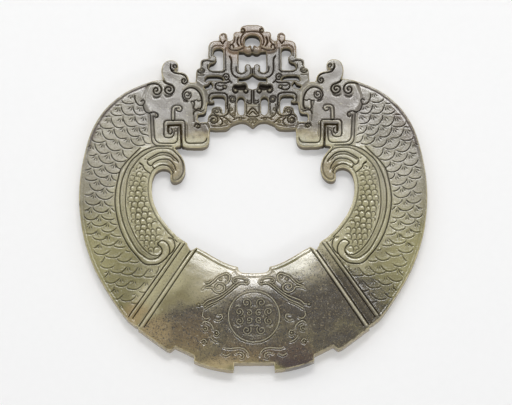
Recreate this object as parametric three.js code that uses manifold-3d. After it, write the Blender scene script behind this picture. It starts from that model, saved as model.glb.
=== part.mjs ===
// A carved jade plaque: two scaled dragons back to back form a ring, with an openwork crest above, and a
// fan-shaped base panel with a roundel below. It lies on its back: X to the right, Y towards the crest, and Z
// out of the carved face. The left half is drawn, and the right half mirrors it.
import * as THREE from 'three';
import { mergeVertices } from 'three/addons/utils/BufferGeometryUtils.js';
import Module from 'manifold-3d';

const wasm = await Module();
wasm.setup();

// Driving sizes, in millimetres
const PLAQUE_WIDTH = 132;
const CREST_THICKNESS = 5.2;
const MASK_THICKNESS = 5.7;
const HEAD_THICKNESS = 5.6;
const BODY_THICKNESS = 5.2;
const WING_THICKNESS = 5.4;
const BAND_THICKNESS = 5.7;
const PANEL_THICKNESS = 6.4;
const ROUNDEL_RISE = 0.5;

// Raised carving: the width and the rise of each kind
const RIM_WIDTH = 1.5;
const RIM_RISE = 0.35;
const RIDGE_WIDTH = 1.2;
const RIDGE_RISE = 0.6;
const LINE_WIDTH = 0.8;
const LINE_RISE = 0.35;
const LIZARD_WIDTH = 1.9;
const LIZARD_RISE = 0.5;
const RING_WIDTH = 0.9;
const RING_RISE = 0.45;
const RELIEF_ROOT = 1.5;

// The saw cut that parts each lower jaw from its beard
const SLIT_WIDTH = 0.5;

// Finest steps of a curve and of a spiral, the share of a spiral's reach that its eye takes, how near two
// points count as one, and how far the cutting solids pass the faces
const CURVE_STEP = 1.25;
const SPIRAL_STEP_DEG = 40;
const SPIRAL_EYE_SHARE = 0.3;
const POINT_MERGE = 1e-3;
const OVERRUN = 4;

// The photograph's frame: the plaque's width and middle there, its turn, and the camera's tilt
const PLAQUE_WIDTH_PX = 348.4;
const MIDDLE_PX = [253.2, 196.69];
const PHOTO_TURN_DEG = 0.35;
const PHOTO_TILT_DEG = 13;

const MM_PER_PX = PLAQUE_WIDTH / PLAQUE_WIDTH_PX;

// A pixel of the photograph, as a point of the carved face in millimetres
function toFace([xPx, yPx]) {
  const turn = THREE.MathUtils.degToRad(PHOTO_TURN_DEG);
  const tilt = THREE.MathUtils.degToRad(PHOTO_TILT_DEG);
  const right = xPx - MIDDLE_PX[0];
  const up = MIDDLE_PX[1] - yPx;
  const x = right * Math.cos(turn) + up * Math.sin(turn);
  const y = up * Math.cos(turn) - right * Math.sin(turn);
  return new THREE.Vector2(x * MM_PER_PX, (y * MM_PER_PX) / Math.cos(tilt));
}

function straight(...pixels) {
  return pixels.map(toFace);
}

function curved(...pixels) {
  const knots = pixels.map(toFace).map((point) => new THREE.Vector3(point.x, point.y, 0));
  const spline = new THREE.CatmullRomCurve3(knots, false, 'centripetal');
  const steps = Math.max(knots.length - 1, Math.ceil(spline.getLength() / CURVE_STEP));
  return spline.getSpacedPoints(steps).map((point) => new THREE.Vector2(point.x, point.y));
}

// A spiral from its eye out to a radius, turning from one angle to another
function spiral({ centrePx, radiusPx, fromDeg, toDeg }) {
  const from = THREE.MathUtils.degToRad(fromDeg);
  const to = THREE.MathUtils.degToRad(toDeg);
  const steps = Math.ceil(Math.abs(to - from) / THREE.MathUtils.degToRad(SPIRAL_STEP_DEG));
  return Array.from({ length: steps + 1 }, (_, step) => {
    const share = step / steps;
    const angle = from + (to - from) * share;
    const reach = radiusPx * (SPIRAL_EYE_SHARE + (1 - SPIRAL_EYE_SHARE) * share);
    return toFace([centrePx[0] + reach * Math.cos(angle), centrePx[1] - reach * Math.sin(angle)]);
  });
}

function mirrored(points) {
  return points.map((point) => new THREE.Vector2(-point.x, point.y)).reverse();
}

// The point of the plaque's axis at the height of a pixel row
function onAxis(rowPx) {
  return new THREE.Vector2(0, toFace([MIDDLE_PX[0], rowPx]).y);
}

// A closed outline across the axis, from its left half, whose ends may run a little past the axis
function bothHalves(points) {
  const left = points.map((point) => new THREE.Vector2(Math.min(point.x, 0), point.y));
  return [...left, ...mirrored(left)];
}

// The outer edge, left half, from the top of the crest round to the foot of the panel
const CAP_EDGE = curved([252, 23.8], [247, 24], [243.5, 24.8], [241, 26.4], [240.2, 28.5], [240.2, 30.3]);
const SHOULDER_EDGE = curved([239, 30.8], [236, 30.8], [234, 31.8], [233.3, 34], [233.1, 37], [231.6, 39.4],
  [228.6, 39.9]);
const KNOB_EDGE = curved([226.8, 38.4], [227.2, 35], [226, 32.5], [223.4, 31.5], [220.5, 32.4],
  [218.9, 34.8],
  [218.9, 37.2], [219.6, 39]);
const BRACKET_EDGE = [
  ...curved([217, 39.4], [212.5, 40.1], [209.5, 42.2], [208.2, 45.5], [208, 50], [208, 55]),
  ...straight([209, 57]),
  ...curved([206.5, 57.8], [203, 58.2], [200.7, 59.8], [200.2, 62.5], [200.2, 65.8]),
  ...straight([199.2, 67.6], [197.3, 67.9], [196.2, 69.3], [195.9, 72], [195.3, 81.9]),
];
const HORN_EDGE = [
  ...straight([190, 81.9]),
  ...curved([188.7, 80.5], [187.8, 76.8], [185.6, 73.6], [182, 71.9], [178, 71.3], [175.3, 70.4]),
  ...curved([174.8, 68.9], [177.2, 67.7], [177.9, 65.5], [177, 62.4], [174.5, 60.2], [170.8, 59.4],
    [167, 60],
    [163.6, 62.2], [161.8, 65.5], [161, 69], [161.1, 73], [162.2, 76.8]),
  ...straight([162.6, 79]),
];
const BACK_EDGE = curved([157, 79.6], [150, 81.1], [140, 84.6], [126, 91], [112.8, 100.6], [103.2, 110.4],
  [96.3, 120.4], [91.3, 130], [87.7, 140], [85, 150], [82.8, 160], [81, 170], [79.8, 180],
  [79.1, 190], [79, 200],
  [79.6, 210], [80.8, 220], [82.4, 230], [84.8, 240], [87.9, 250], [91.6, 260], [96, 270], [101.3, 280],
  [107.3, 290], [113.8, 300], [120.8, 310], [128.2, 319.4]);
const BAND_FOOT_EDGE = straight([131.4, 321.8], [135, 324.6], [139, 326.4]);
const PANEL_FOOT_EDGE = [
  ...straight([138.9, 329], [141.5, 330.4]),
  ...curved([149.5, 336.4], [155, 340.3], [161, 344.6], [167, 348.8]),
  ...straight([170, 349.8], [172, 349]),
  ...straight([175.4, 346], [185, 350.6], [194, 354.8], [194.9, 357], [194.3, 360.4]),
  ...curved([200, 362.9], [208, 365.4], [218, 367.7], [226, 369.1], [233.8, 369.7]),
  ...straight([234, 366], [234.2, 362.6]),
];
const OUTER_EDGE = [
  ...CAP_EDGE, ...SHOULDER_EDGE, ...KNOB_EDGE, ...BRACKET_EDGE, ...HORN_EDGE, ...BACK_EDGE,
  ...BAND_FOOT_EDGE, ...PANEL_FOOT_EDGE,
];

// The edge of the great central opening, left half, from the crest's point round to the panel's middle
const CREST_FOOT_EDGE = [
  ...curved([252, 125.9], [249.6, 123.8], [246.3, 121.7], [242.5, 120.9], [238.5, 121.3], [234, 122.9],
    [230.8, 124.5]),
  ...curved([229.2, 126.8], [226, 128.6], [221, 129.1], [214, 129.1], [209.8, 128.6]),
];
const JAW_EDGE = [
  ...curved([209.3, 131.5], [209, 141], [207, 145.2], [203, 147.2], [195, 147.5], [187, 147.3]),
  ...straight([184.6, 146.4]),
  ...straight([180, 145.8], [176.2, 146.4], [174.4, 147.6]),
];
const HOOK_EDGE = curved([175, 148.4], [178, 151.8], [181, 155.7], [183.5, 160], [184.9, 164.4],
  [185.3, 169],
  [184.7, 173], [182.6, 177.6], [179, 180.9], [175, 182], [171.9, 181.2], [170.3, 178.6], [170.4, 175.4],
  [170.8, 172.8]);
const HOOK_HOLLOW_EDGE = curved([169.9, 170.9], [167.4, 169.2], [163, 168.5], [158.6, 169.8],
  [155.4, 172.6],
  [153.2, 176.8], [152, 182], [151.6, 189], [152.1, 195], [153.9, 203], [156.4, 209], [160, 216],
  [165, 222.7],
  [171, 230], [178, 236.4], [184, 240.8], [187.3, 243.3]);
const BAND_HEAD_EDGE = straight([188, 246], [190.7, 250], [193.6, 249.2]);
const PANEL_HEAD_EDGE = [
  ...straight([196.6, 247.2]),
  ...curved([205, 251.6], [213, 256.4], [223, 261.7], [232, 265.3], [237.8, 266.7]),
  ...curved([238.4, 269.6], [240.5, 271.8], [245, 272.7], [254.5, 273]),
];
const CENTRAL_EDGE = [
  ...CREST_FOOT_EDGE, ...JAW_EDGE, ...HOOK_EDGE, ...HOOK_HOLLOW_EDGE, ...BAND_HEAD_EDGE, ...PANEL_HEAD_EDGE,
];

// The crest's openings on the axis, left halves
const ARCH_OPENING = [
  ...curved([252, 33.9], [248.8, 34.5], [246, 36.3], [244.6, 39.3], [244.6, 43], [245.7, 45.6]),
  ...curved([247.8, 45.8], [249.8, 44.4], [251, 44.9], [251.7, 47.4]),
];
const SCROLL_OPENING = [
  ...curved([251.8, 51.6], [249.8, 52.8], [246.6, 52.8], [243.8, 51.1]),
  ...straight([238.5, 50.7], [238.3, 68.4]),
  ...curved([239.2, 70.7], [241.3, 71.6], [243.8, 70.8], [245.6, 68.9], [244.6, 67], [245, 64.6],
    [247.3, 63.2],
    [249.8, 63.8], [251.3, 66.4]),
];
const PEAK_OPENING = [
  ...curved([251.9, 73.3], [249.6, 75.2], [246, 76.9], [242, 77.6]),
  ...straight([238.4, 77.5], [238.4, 81.6], [244.8, 81]),
  ...curved([246.6, 82.4], [247.5, 84.6], [248.4, 87.4], [252.2, 88.6]),
];
const AXIS_OPENINGS = [ARCH_OPENING, SCROLL_OPENING, PEAK_OPENING];

// The crest's openings left of the axis
const BRACKET_OPENING = [
  ...curved([222.9, 49], [221, 47.5], [217.4, 47.2], [214.6, 48.2], [213.2, 50.5], [213, 53.2], [214, 54.8],
    [215.8, 56], [216.3, 58], [215.4, 60], [213.5, 62], [210.6, 63.1], [208.9, 65], [209, 67.6],
    [210.6, 69.2],
    [213.5, 69.7]),
  ...straight([221.9, 69.5], [223.2, 68]),
];
const SLOT_OPENING = [
  ...curved([205, 80.6], [205.2, 77.6], [207, 75.8], [210, 75.2], [214, 75.1], [218, 75.3], [221.4, 76.2],
    [223.6, 78.2]),
  ...straight([223.6, 79.8], [208, 79.8], [206.4, 81.2]),
];
const HORN_SIDE_OPENING = curved([210.3, 80.9], [211.8, 83], [212.7, 85.4], [211.4, 87.4], [208.6, 88.4],
  [205.6, 88.7], [204, 87.4], [203.6, 85.7], [206, 84.9], [208.6, 83.8]);
const MOUTH_OPENING = [
  ...curved([211, 98.3], [211.8, 96.6], [213.8, 95.6], [218, 95.4], [222, 95.6], [224.1, 96.7],
    [224.9, 98.8]),
  ...straight([225, 112.2], [223.7, 113.2]),
  ...curved([222.3, 112.6], [222.3, 110.4], [221.7, 108.1], [220.3, 106.4], [218.2, 105.7], [215.4, 105.9],
    [213, 106.9], [211.5, 108.7], [211.1, 111.6], [210, 113.6], [208.4, 115.4], [207.7, 118],
    [207.6, 120.6]),
  ...straight([206.4, 122], [199.2, 122], [197.3, 120.4], [197.3, 115.4]),
  ...curved([198.6, 114.1], [201.2, 113.8], [203.6, 113.4], [205.4, 111.8], [206.2, 109.4], [206.6, 106],
    [206.8, 103.2]),
  ...curved([207.9, 101.9], [210.2, 102.3], [213, 101.9], [214.3, 100.9], [213.6, 99.9], [212, 99.6]),
];
const WINDOW_OPENING = curved([237.2, 104], [237.2, 99.8], [238.4, 97.3], [241, 96.3], [243.4, 97.4],
  [244.2, 100],
  [244.3, 105], [244.3, 110], [243.7, 113.3], [241.7, 114.7], [239.4, 114], [237.8, 111.9], [237.2, 108]);
const SIDE_OPENINGS = [BRACKET_OPENING, SLOT_OPENING, HORN_SIDE_OPENING, MOUTH_OPENING, WINDOW_OPENING];

// The jaw slit, from its square eye to the central opening
const JAW_SLIT = straight([168, 131], [168, 125.2], [180.3, 124.8], [181.6, 149]);

// The rows where the mask ends and where the crest's foot begins, on the axis
const MASK_END_ROW_PX = 58;
const CREST_FOOT_ROW_PX = 94;

// The borders that the carving draws between its members, left half
const MASK_BORDER = straight([229.2, 39.9], [228.2, 43], [228.2, 47.5], [229.8, 50.2], [232, 51],
  [240.6, 51]);
const LATTICE_BORDER = [
  ...straight([207.8, 104.2], [216, 104.2], [218, 97.4], [225, 97.4], [227, CREST_FOOT_ROW_PX]),
  onAxis(CREST_FOOT_ROW_PX),
];
const SNOUT_BORDER = straight([194.6, 80], [199.5, 83.7], [203, 86.6], [205.6, 90.6], [206.7, 95],
  [206.7, 102.5], [207.8, 104.2]);
const CHIN_BORDER = straight([208.6, 106], [208.6, 112.6], [207.3, 116], [206.6, 121.9], [209.7, 128.7]);
const HORN_BORDER = curved([162.4, 78], [165.4, 80.6], [169.4, 83], [172.6, 86.2], [174.4, 88.8],
  [178.6, 88.4],
  [183.4, 86.4], [186.6, 84.2], [190, 81.9]);
const NECK_BORDER = [
  ...curved([150, 81.1], [145.6, 90], [142.6, 101], [146, 108.6], [149.3, 114.6]),
  ...curved([150.2, 135], [151.6, 141.6], [154.2, 145.4], [158.4, 146.9]),
];
const BEARD_BORDER = straight([158.4, 146.9], [170.8, 146.9], [174.4, 147.6]);
const WING_BORDER = curved([158.4, 146.9], [150, 147.7], [144, 149.3], [138, 152.3], [131, 157.6],
  [124.8, 165],
  [120.7, 173], [118.2, 181], [116.7, 192], [116.3, 205], [117.5, 216], [120.2, 226], [124.2, 236],
  [129, 245.6], [134, 252.6], [139.4, 258.3], [145, 262.3], [151, 264.6], [157, 264.6], [163, 262.4],
  [168.6, 257.6], [172.6, 252], [174.4, 246.6], [174, 241.6], [173.4, 237], [174.6, 233.3]);
const BAND_BORDER = straight([183, 240.1], [181, 243], [127, 318]);
const PANEL_BORDER = straight([190.7, 250], [139, 326.4]);

// Far corners that close each member's region outside the plaque
const FAR_TOP_PX = 12;
const FAR_LEFT_PX = 60;
const FAR_BOTTOM_PX = 384;

const MASK_REGION = bothHalves([
  ...straight([251.7, FAR_TOP_PX], [229.2, FAR_TOP_PX]), ...MASK_BORDER,
  ...straight([241, MASK_END_ROW_PX], [251.8, MASK_END_ROW_PX]),
]);
const LATTICE_REGION = [
  ...straight([229.2, FAR_TOP_PX], [194.8, FAR_TOP_PX]), ...SNOUT_BORDER, ...LATTICE_BORDER.slice(1),
  onAxis(MASK_END_ROW_PX), ...straight([241, MASK_END_ROW_PX]), ...[...MASK_BORDER].reverse(),
];
const CREST_FOOT_REGION = bothHalves([
  ...[...LATTICE_BORDER].reverse(), ...CHIN_BORDER, ...straight([210.6, 132], [252.5, 132]),
]);
const HORN_REGION = [
  ...HORN_BORDER, ...straight([194.8, 76], [194.8, 50], [150, 50], [150, 74]),
];
const HEAD_REGION = [
  ...straight([162.4, 78], [150, 76]), ...NECK_BORDER, ...BEARD_BORDER.slice(1),
  ...straight([178, 149.2], [184, 152], [212, 152], [212, 132]), ...[...CHIN_BORDER].reverse(),
  ...[...SNOUT_BORDER].reverse(), ...[...HORN_BORDER].reverse().slice(0, -1),
];
const WING_REGION = [
  ...[...BEARD_BORDER].reverse(), ...WING_BORDER.slice(1),
  ...straight([190, 228], [196, 190], [196, 154], [178, 149.2]),
];
const BODY_REGION = [
  ...[...NECK_BORDER].reverse(), ...straight([148, 66], [FAR_LEFT_PX, 66], [FAR_LEFT_PX, 330], [120, 330]),
  ...[...BAND_BORDER].reverse(), ...straight([186, 236]), ...[...WING_BORDER].reverse().slice(0, -1),
];
const BAND_REGION = [
  ...BAND_BORDER, ...straight([124, 328],
  [136, 334]), ...[...PANEL_BORDER].reverse(), ...straight([192, 244]),
];
const PANEL_REGION = bothHalves([
  ...straight([252.8, 240], [196, 240]), ...PANEL_BORDER, ...straight([128, 330], [128, FAR_BOTTOM_PX],
    [254.3, FAR_BOTTOM_PX]),
]);

// Raised carving on the members, left half
const BROW_LINE = curved([252, 29.6], [246, 29.9], [242.6, 32.6], [240.6, 37], [240.6, 42], [242.8, 46]);
const VOLUTE_LINE = curved([243.6, 47.6], [238, 48.7], [232.6, 48.4], [230, 46.2], [231.4, 43.8]);
const SCROLL_LINE = curved([230.6, 57.4], [231, 64], [231.6, 70.4], [234.6, 74.2], [240.4, 75], [246, 73.2],
  [248.6, 69.8], [248.4, 66.4], [246.6, 65.4]);
const BRACKET_LINE = curved([223.6, 43], [217, 42.6], [212.4, 43.8], [210.4, 48], [210.4, 54.4]);
const RAIL_LINE = straight([198, 72.4], [222, 72.6]);
const FOOT_SCROLL_LINE = curved([209, 118.4], [213, 116.4], [217.4, 117.4], [219.6, 120.6], [217.4, 124],
  [212.6, 125.4]);
const NOSE_LINE = curved([187.4, 94.6], [189.8, 93.6], [190.7, 95.8], [189.4, 98.2], [186.6, 98.2],
  [184.3, 96],
  [183.9, 92.4], [186, 88.9], [190.6, 87.6], [196, 89.7], [199.8, 94.4], [201.3, 100], [201.4, 107.6]);
const CHEEK_SPIRAL = spiral({ centrePx: [169, 88.6], radiusPx: 4.6, fromDeg: 360, toDeg: -60 });
const MANE_SPIRAL = spiral({ centrePx: [156.8, 90], radiusPx: 4.8, fromDeg: 360, toDeg: -90 });
const BEARD_LINE = [
  ...straight([151.6, 114.6]),
  ...curved([152.4, 133], [153.8, 140.4], [156.6, 143.6], [161, 144.4]),
  ...curved([171, 144.4], [176.6, 142.6], [178.4, 138], [178.4, 128.6]),
];
const JAW_LINE = curved([184.9, 127], [184.9, 139], [186.6, 143.4], [190.4, 144.9], [202, 144.7],
  [206.6, 140.8]);
const WING_BORDER_RIDGE = [...straight([166, 146]), ...WING_BORDER];
const HOLLOW_RIM = [...straight([171.4, 174]), ...HOOK_HOLLOW_EDGE];
const HOOK_RIDGE = curved([150, 152.6], [157, 150.2], [165, 150], [171.6, 152.4], [176.9, 157.4],
  [180.3, 164],
  [180.8, 171], [178.6, 176.4], [175.2, 179.2]);
const HOLLOW_RIDGE = curved([150.4, 168.4], [154, 164], [160, 161.4], [166.4, 162.4], [171.8, 166.4],
  [175, 171.6]);
const FIELD_RIDGE = curved([122.8, 188], [123.8, 206], [127, 219.6], [132.2, 231.8], [138.4, 242.6],
  [145.4, 250.2], [152.4, 253.6], [158.8, 252.2], [162.2, 247.4]);
const BAND_RIBS = [straight([185.6, 244.6], [132.4, 320.4]), straight([188.8, 249.4], [136.4, 323.4])];
const PANEL_HEAD_RIM = [...straight([193, 250]), ...PANEL_HEAD_EDGE];
const LIZARD_NECK = curved([246, 279.4], [238, 281.8], [230.6, 287.2], [223, 293.2], [214, 297.8],
  [207, 303.4],
  [203.4, 311], [203.6, 320], [207.4, 328], [213.6, 334]);
const LIZARD_TAIL = curved([224, 346.2], [231, 347.6], [240, 347.6], [246, 349.2], [249.4, 352]);

const ROUNDEL_CENTRE_PX = [253.4, 316.5];
const ROUNDEL_RADII_PX = [24.8, 26.6];
const ROUNDEL_SIDES = 36;

// An oval round the roundel's centre, drawn in by an inset in millimetres
function roundelOval(inset) {
  const radiusX = ROUNDEL_RADII_PX[0] * MM_PER_PX - inset;
  const radiusY = ROUNDEL_RADII_PX[1] * MM_PER_PX - inset;
  const middle = new THREE.Vector2(0, toFace(ROUNDEL_CENTRE_PX).y);
  const oval = new THREE.EllipseCurve(middle.x, middle.y, radiusX, radiusY);
  return oval.getPoints(ROUNDEL_SIDES).slice(0, -1);
}

// A closed outline with holes, drawn up from one height to another
function prism(outline, holes, bottom, top) {
  const shape = new THREE.Shape(distinct(outline));
  shape.holes = holes.map((hole) => new THREE.Path(distinct(hole)));
  const geometry = new THREE.ExtrudeGeometry(shape, { depth: top - bottom, bevelEnabled: false });
  geometry.translate(0, 0, bottom);
  return toSolid(geometry);
}

// Leaves out a point that repeats the one before it
function distinct(points) {
  return points.filter((point, i) => point.distanceTo(points.at(i - 1)) > POINT_MERGE);
}

function toSolid(geometry) {
  geometry.deleteAttribute('normal');
  geometry.deleteAttribute('uv');
  const merged = mergeVertices(geometry, POINT_MERGE);
  return new wasm.Manifold(new wasm.Mesh({
    numProp: 3,
    vertProperties: new Float32Array(merged.attributes.position.array),
    triVerts: new Uint32Array(merged.index.array),
  }));
}

// The outline of a strip of one width along a path
function strip(path, width) {
  const offsets = path.map((_, i) => {
    const before = path[Math.max(i - 1, 0)];
    const after = path[Math.min(i + 1, path.length - 1)];
    const along = after.clone().sub(before).normalize();
    return new THREE.Vector2(-along.y, along.x).multiplyScalar(width / 2);
  });
  const left = path.map((point, i) => point.clone().add(offsets[i]));
  const right = path.map((point, i) => point.clone().sub(offsets[i]));
  return [...left, ...right.reverse()];
}

const rim = (edge) => ({ path: edge, width: 2 * RIM_WIDTH, rise: RIM_RISE });
const border = (edge) => ({ path: edge, width: 2 * RIDGE_WIDTH, rise: RIDGE_RISE });
const ridge = (path) => ({ path, width: RIDGE_WIDTH, rise: RIDGE_RISE });
const line = (path) => ({ path, width: LINE_WIDTH, rise: LINE_RISE });
const lizard = (path) => ({ path, width: LIZARD_WIDTH, rise: LIZARD_RISE });

const THICKEST = PANEL_THICKNESS + ROUNDEL_RISE + RING_RISE;

// The whole plaque's silhouette with every opening, taller than any member
function silhouette() {
  const holes = [
    bothHalves(CENTRAL_EDGE),
    ...AXIS_OPENINGS.map(bothHalves),
    ...SIDE_OPENINGS,
    ...SIDE_OPENINGS.map(mirrored),
  ];
  const slit = strip(JAW_SLIT, SLIT_WIDTH);
  return prism(bothHalves(OUTER_EDGE), holes, 0, THICKEST + OVERRUN)
    .subtract(prism(slit, [], -OVERRUN, THICKEST + 2 * OVERRUN))
    .subtract(prism(mirrored(slit), [], -OVERRUN, THICKEST + 2 * OVERRUN));
}

const SILHOUETTE = silhouette();

// One member: its region of the silhouette at its own thickness, with its raised carving
function member(region, thickness, relief) {
  let block = prism(region, [], -OVERRUN, thickness);
  const tall = prism(region, [], -OVERRUN, THICKEST);
  for (const { path, width, rise } of relief) {
    const raised = prism(strip(path, width), [], thickness - RELIEF_ROOT, thickness + rise);
    block = block.add(raised.intersect(tall));
  }
  return block.intersect(SILHOUETTE);
}

function rightMember(region, thickness, relief) {
  const turned = relief.map((feature) => ({ ...feature, path: mirrored(feature.path) }));
  return member(mirrored(region), thickness, turned);
}

function axisMember(region, thickness, relief) {
  const turned = relief.map((feature) => ({ ...feature, path: mirrored(feature.path) }));
  return member(region, thickness, [...relief, ...turned]);
}

// The roundel: a low oval disc with a raised ring, standing on the panel's face
function roundel() {
  const disc = prism(roundelOval(0), [], PANEL_THICKNESS, PANEL_THICKNESS + ROUNDEL_RISE);
  const ringTop = PANEL_THICKNESS + ROUNDEL_RISE + RING_RISE;
  const ring = prism(roundelOval(0), [roundelOval(RING_WIDTH)], PANEL_THICKNESS, ringTop);
  return disc.add(ring);
}

// The stone's colours
const GREY_JADE = 0x97928a;
const BROWN_JADE = 0x8f7f6b;
const OLIVE_JADE = 0x93906f;
const GREEN_JADE = 0x8a8a68;
const DARK_JADE = 0x5f574a;
const POLISHED_ROUGHNESS = 0.32;

const plaque = new THREE.Group();

function addMember(name, solid, colour) {
  const { vertProperties, triVerts } = solid.getMesh();
  const geometry = new THREE.BufferGeometry();
  geometry.setAttribute('position', new THREE.BufferAttribute(vertProperties, 3));
  geometry.setIndex(new THREE.BufferAttribute(triVerts, 1));
  geometry.computeVertexNormals();
  const stone = new THREE.MeshStandardMaterial({
    color: colour,
    roughness: POLISHED_ROUGHNESS,
    metalness: 0,
  });
  const mesh = new THREE.Mesh(geometry, stone);
  mesh.name = name;
  plaque.add(mesh);
}

const PAIRED_MEMBERS = [
  {
    name: 'crest_lattice',
    region: LATTICE_REGION,
    thickness: CREST_THICKNESS,
    relief: [line(SCROLL_LINE), line(BRACKET_LINE), line(RAIL_LINE)],
    colour: GREY_JADE,
  },
  { name: 'horn', region: HORN_REGION, thickness: HEAD_THICKNESS, relief: [], colour: GREY_JADE },
  {
    name: 'dragon_head',
    region: HEAD_REGION,
    thickness: HEAD_THICKNESS,
    relief: [NOSE_LINE, CHEEK_SPIRAL, MANE_SPIRAL, BEARD_LINE, JAW_LINE].map(line),
    colour: GREY_JADE,
  },
  {
    name: 'wing',
    region: WING_REGION,
    thickness: WING_THICKNESS,
    relief: [
      border(WING_BORDER_RIDGE),
      ridge(HOOK_RIDGE),
      ridge(HOLLOW_RIDGE),
      ridge(FIELD_RIDGE),
      rim(HOLLOW_RIM),
    ],
    colour: OLIVE_JADE,
  },
  {
    name: 'dragon_body',
    region: BODY_REGION,
    thickness: BODY_THICKNESS,
    relief: [rim(BACK_EDGE)],
    colour: GREEN_JADE,
  },
  {
    name: 'band',
    region: BAND_REGION,
    thickness: BAND_THICKNESS,
    relief: BAND_RIBS.map(line),
    colour: GREEN_JADE,
  },
];

for (const { name, region, thickness, relief, colour } of PAIRED_MEMBERS) {
  addMember(`left_${name}`, member(region, thickness, relief), colour);
  addMember(`right_${name}`, rightMember(region, thickness, relief), colour);
}

const MASK_RELIEF = [line(BROW_LINE), line(VOLUTE_LINE)];
const FOOT_RELIEF = [line(FOOT_SCROLL_LINE)];
const PANEL_RELIEF = [rim(PANEL_HEAD_RIM), lizard(LIZARD_NECK), lizard(LIZARD_TAIL)];
addMember('crest_mask', axisMember(MASK_REGION, MASK_THICKNESS, MASK_RELIEF), BROWN_JADE);
addMember('crest_foot', axisMember(CREST_FOOT_REGION, CREST_THICKNESS, FOOT_RELIEF), OLIVE_JADE);
addMember('base_panel', axisMember(PANEL_REGION, PANEL_THICKNESS, PANEL_RELIEF), DARK_JADE);
addMember('roundel', roundel(), DARK_JADE);

export default plaque;
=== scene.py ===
import math

import bpy
import numpy as np
from mathutils import Matrix, Vector


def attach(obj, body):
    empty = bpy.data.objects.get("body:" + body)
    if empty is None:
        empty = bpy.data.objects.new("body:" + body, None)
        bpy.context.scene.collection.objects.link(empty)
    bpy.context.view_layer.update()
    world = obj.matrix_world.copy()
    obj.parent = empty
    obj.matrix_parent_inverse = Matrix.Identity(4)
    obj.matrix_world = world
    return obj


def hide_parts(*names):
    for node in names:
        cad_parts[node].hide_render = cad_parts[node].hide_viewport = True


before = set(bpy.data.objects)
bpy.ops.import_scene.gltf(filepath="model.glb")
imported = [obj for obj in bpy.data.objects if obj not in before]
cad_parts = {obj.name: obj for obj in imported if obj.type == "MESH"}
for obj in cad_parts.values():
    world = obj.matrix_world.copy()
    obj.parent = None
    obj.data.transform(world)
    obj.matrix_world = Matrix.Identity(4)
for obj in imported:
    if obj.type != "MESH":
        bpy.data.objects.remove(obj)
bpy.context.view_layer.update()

# The photograph's frame, as in the part's source
MM_PER_PX = 132 / 348.4
MIDDLE_PX = (253.2, 196.69)
TURN = math.radians(0.35)
TILT = math.radians(13)

# The grid that the face is sculpted on
STEP = 0.17
HALF = 396
COLUMNS, ROWS = 2 * HALF - 1, 805
LEFT, BOTTOM = -(HALF - 1) * STEP, -(ROWS - 1) / 2 * STEP
# How far from the outline its distance is worked out, half the slit's width, how far painted shade reaches
# from an opening, and the most steps by which the members' borders spread over cells that no solid covers
SDF_REACH = 2.4
SLIT_HALF = 0.33
SHADE_REACH = 0.9
FILL_STEPS = 400
# How far the upper and the lower edges are rounded
EDGE_ROUND = 0.4
FOOT_ROUND = 0.3
# The flat back is a coarser sheet, set in a little from the outline
BACK_STRIDE = 4
BACK_INSET = 0.2


def to_face(point):
    """A pixel of the photograph as a place on the face, in millimetres."""
    right, up = point[0] - MIDDLE_PX[0], MIDDLE_PX[1] - point[1]
    x = right * math.cos(TURN) + up * math.sin(TURN)
    y = up * math.cos(TURN) - right * math.sin(TURN)
    return (x * MM_PER_PX, y * MM_PER_PX / math.cos(TILT))


def straight(*pixels):
    """A line of straight stretches through the pixels."""
    return [to_face(p) for p in pixels]


def curved(*pixels):
    """A smooth curve through the pixels, closely spaced."""
    p = np.array([to_face(q) for q in pixels])
    if len(p) < 3:
        return [tuple(q) for q in p]
    p = np.vstack([2 * p[0] - p[1], p, 2 * p[-1] - p[-2]])
    out = []
    for a, b, c, d in zip(p[:-3], p[1:-2], p[2:-1], p[3:]):
        t0 = 0.0
        t1 = t0 + max(np.hypot(*(b - a)), 1e-6) ** 0.5
        t2 = t1 + max(np.hypot(*(c - b)), 1e-6) ** 0.5
        t3 = t2 + max(np.hypot(*(d - c)), 1e-6) ** 0.5
        n = max(2, int(np.hypot(*(c - b)) / 0.3))
        for t in np.linspace(t1, t2, n, endpoint=False):
            a1 = (t1 - t) / (t1 - t0) * a + (t - t0) / (t1 - t0) * b
            a2 = (t2 - t) / (t2 - t1) * b + (t - t1) / (t2 - t1) * c
            a3 = (t3 - t) / (t3 - t2) * c + (t - t2) / (t3 - t2) * d
            b1 = (t2 - t) / (t2 - t0) * a1 + (t - t0) / (t2 - t0) * a2
            b2 = (t3 - t) / (t3 - t1) * a2 + (t - t1) / (t3 - t1) * a3
            out.append(tuple((t2 - t) / (t2 - t1) * b1 + (t - t1) / (t2 - t1) * b2))
    return out + [tuple(p[-2])]


def mirrored(points):
    """The same line on the right half."""
    return [(-x, y) for x, y in reversed(points)]


def both_halves(points):
    """A closed loop from its left half."""
    left = [(min(x, 0.0), y) for x, y in points]
    return left + mirrored(left)


# The outer edge, left half, from the top of the crest round to the foot of the panel
CAP_EDGE = curved((252, 23.8), (247, 24), (243.5, 24.8), (241, 26.4), (240.2, 28.5), (240.2, 30.3))
SHOULDER_EDGE = curved((239, 30.8), (236, 30.8), (234, 31.8), (233.3, 34), (233.1, 37), (231.6, 39.4),
                       (228.6, 39.9))
KNOB_EDGE = curved((226.8, 38.4), (227.2, 35), (226, 32.5), (223.4, 31.5), (220.5, 32.4), (218.9, 34.8),
                   (218.9, 37.2), (219.6, 39))
BRACKET_EDGE = [
    *curved((217, 39.4), (212.5, 40.1), (209.5, 42.2), (208.2, 45.5), (208, 50), (208, 55)),
    *straight((209, 57)),
    *curved((206.5, 57.8), (203, 58.2), (200.7, 59.8), (200.2, 62.5), (200.2, 65.8)),
    *straight((199.2, 67.6), (197.3, 67.9), (196.2, 69.3), (195.9, 72), (195.3, 81.9)),
]
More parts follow.
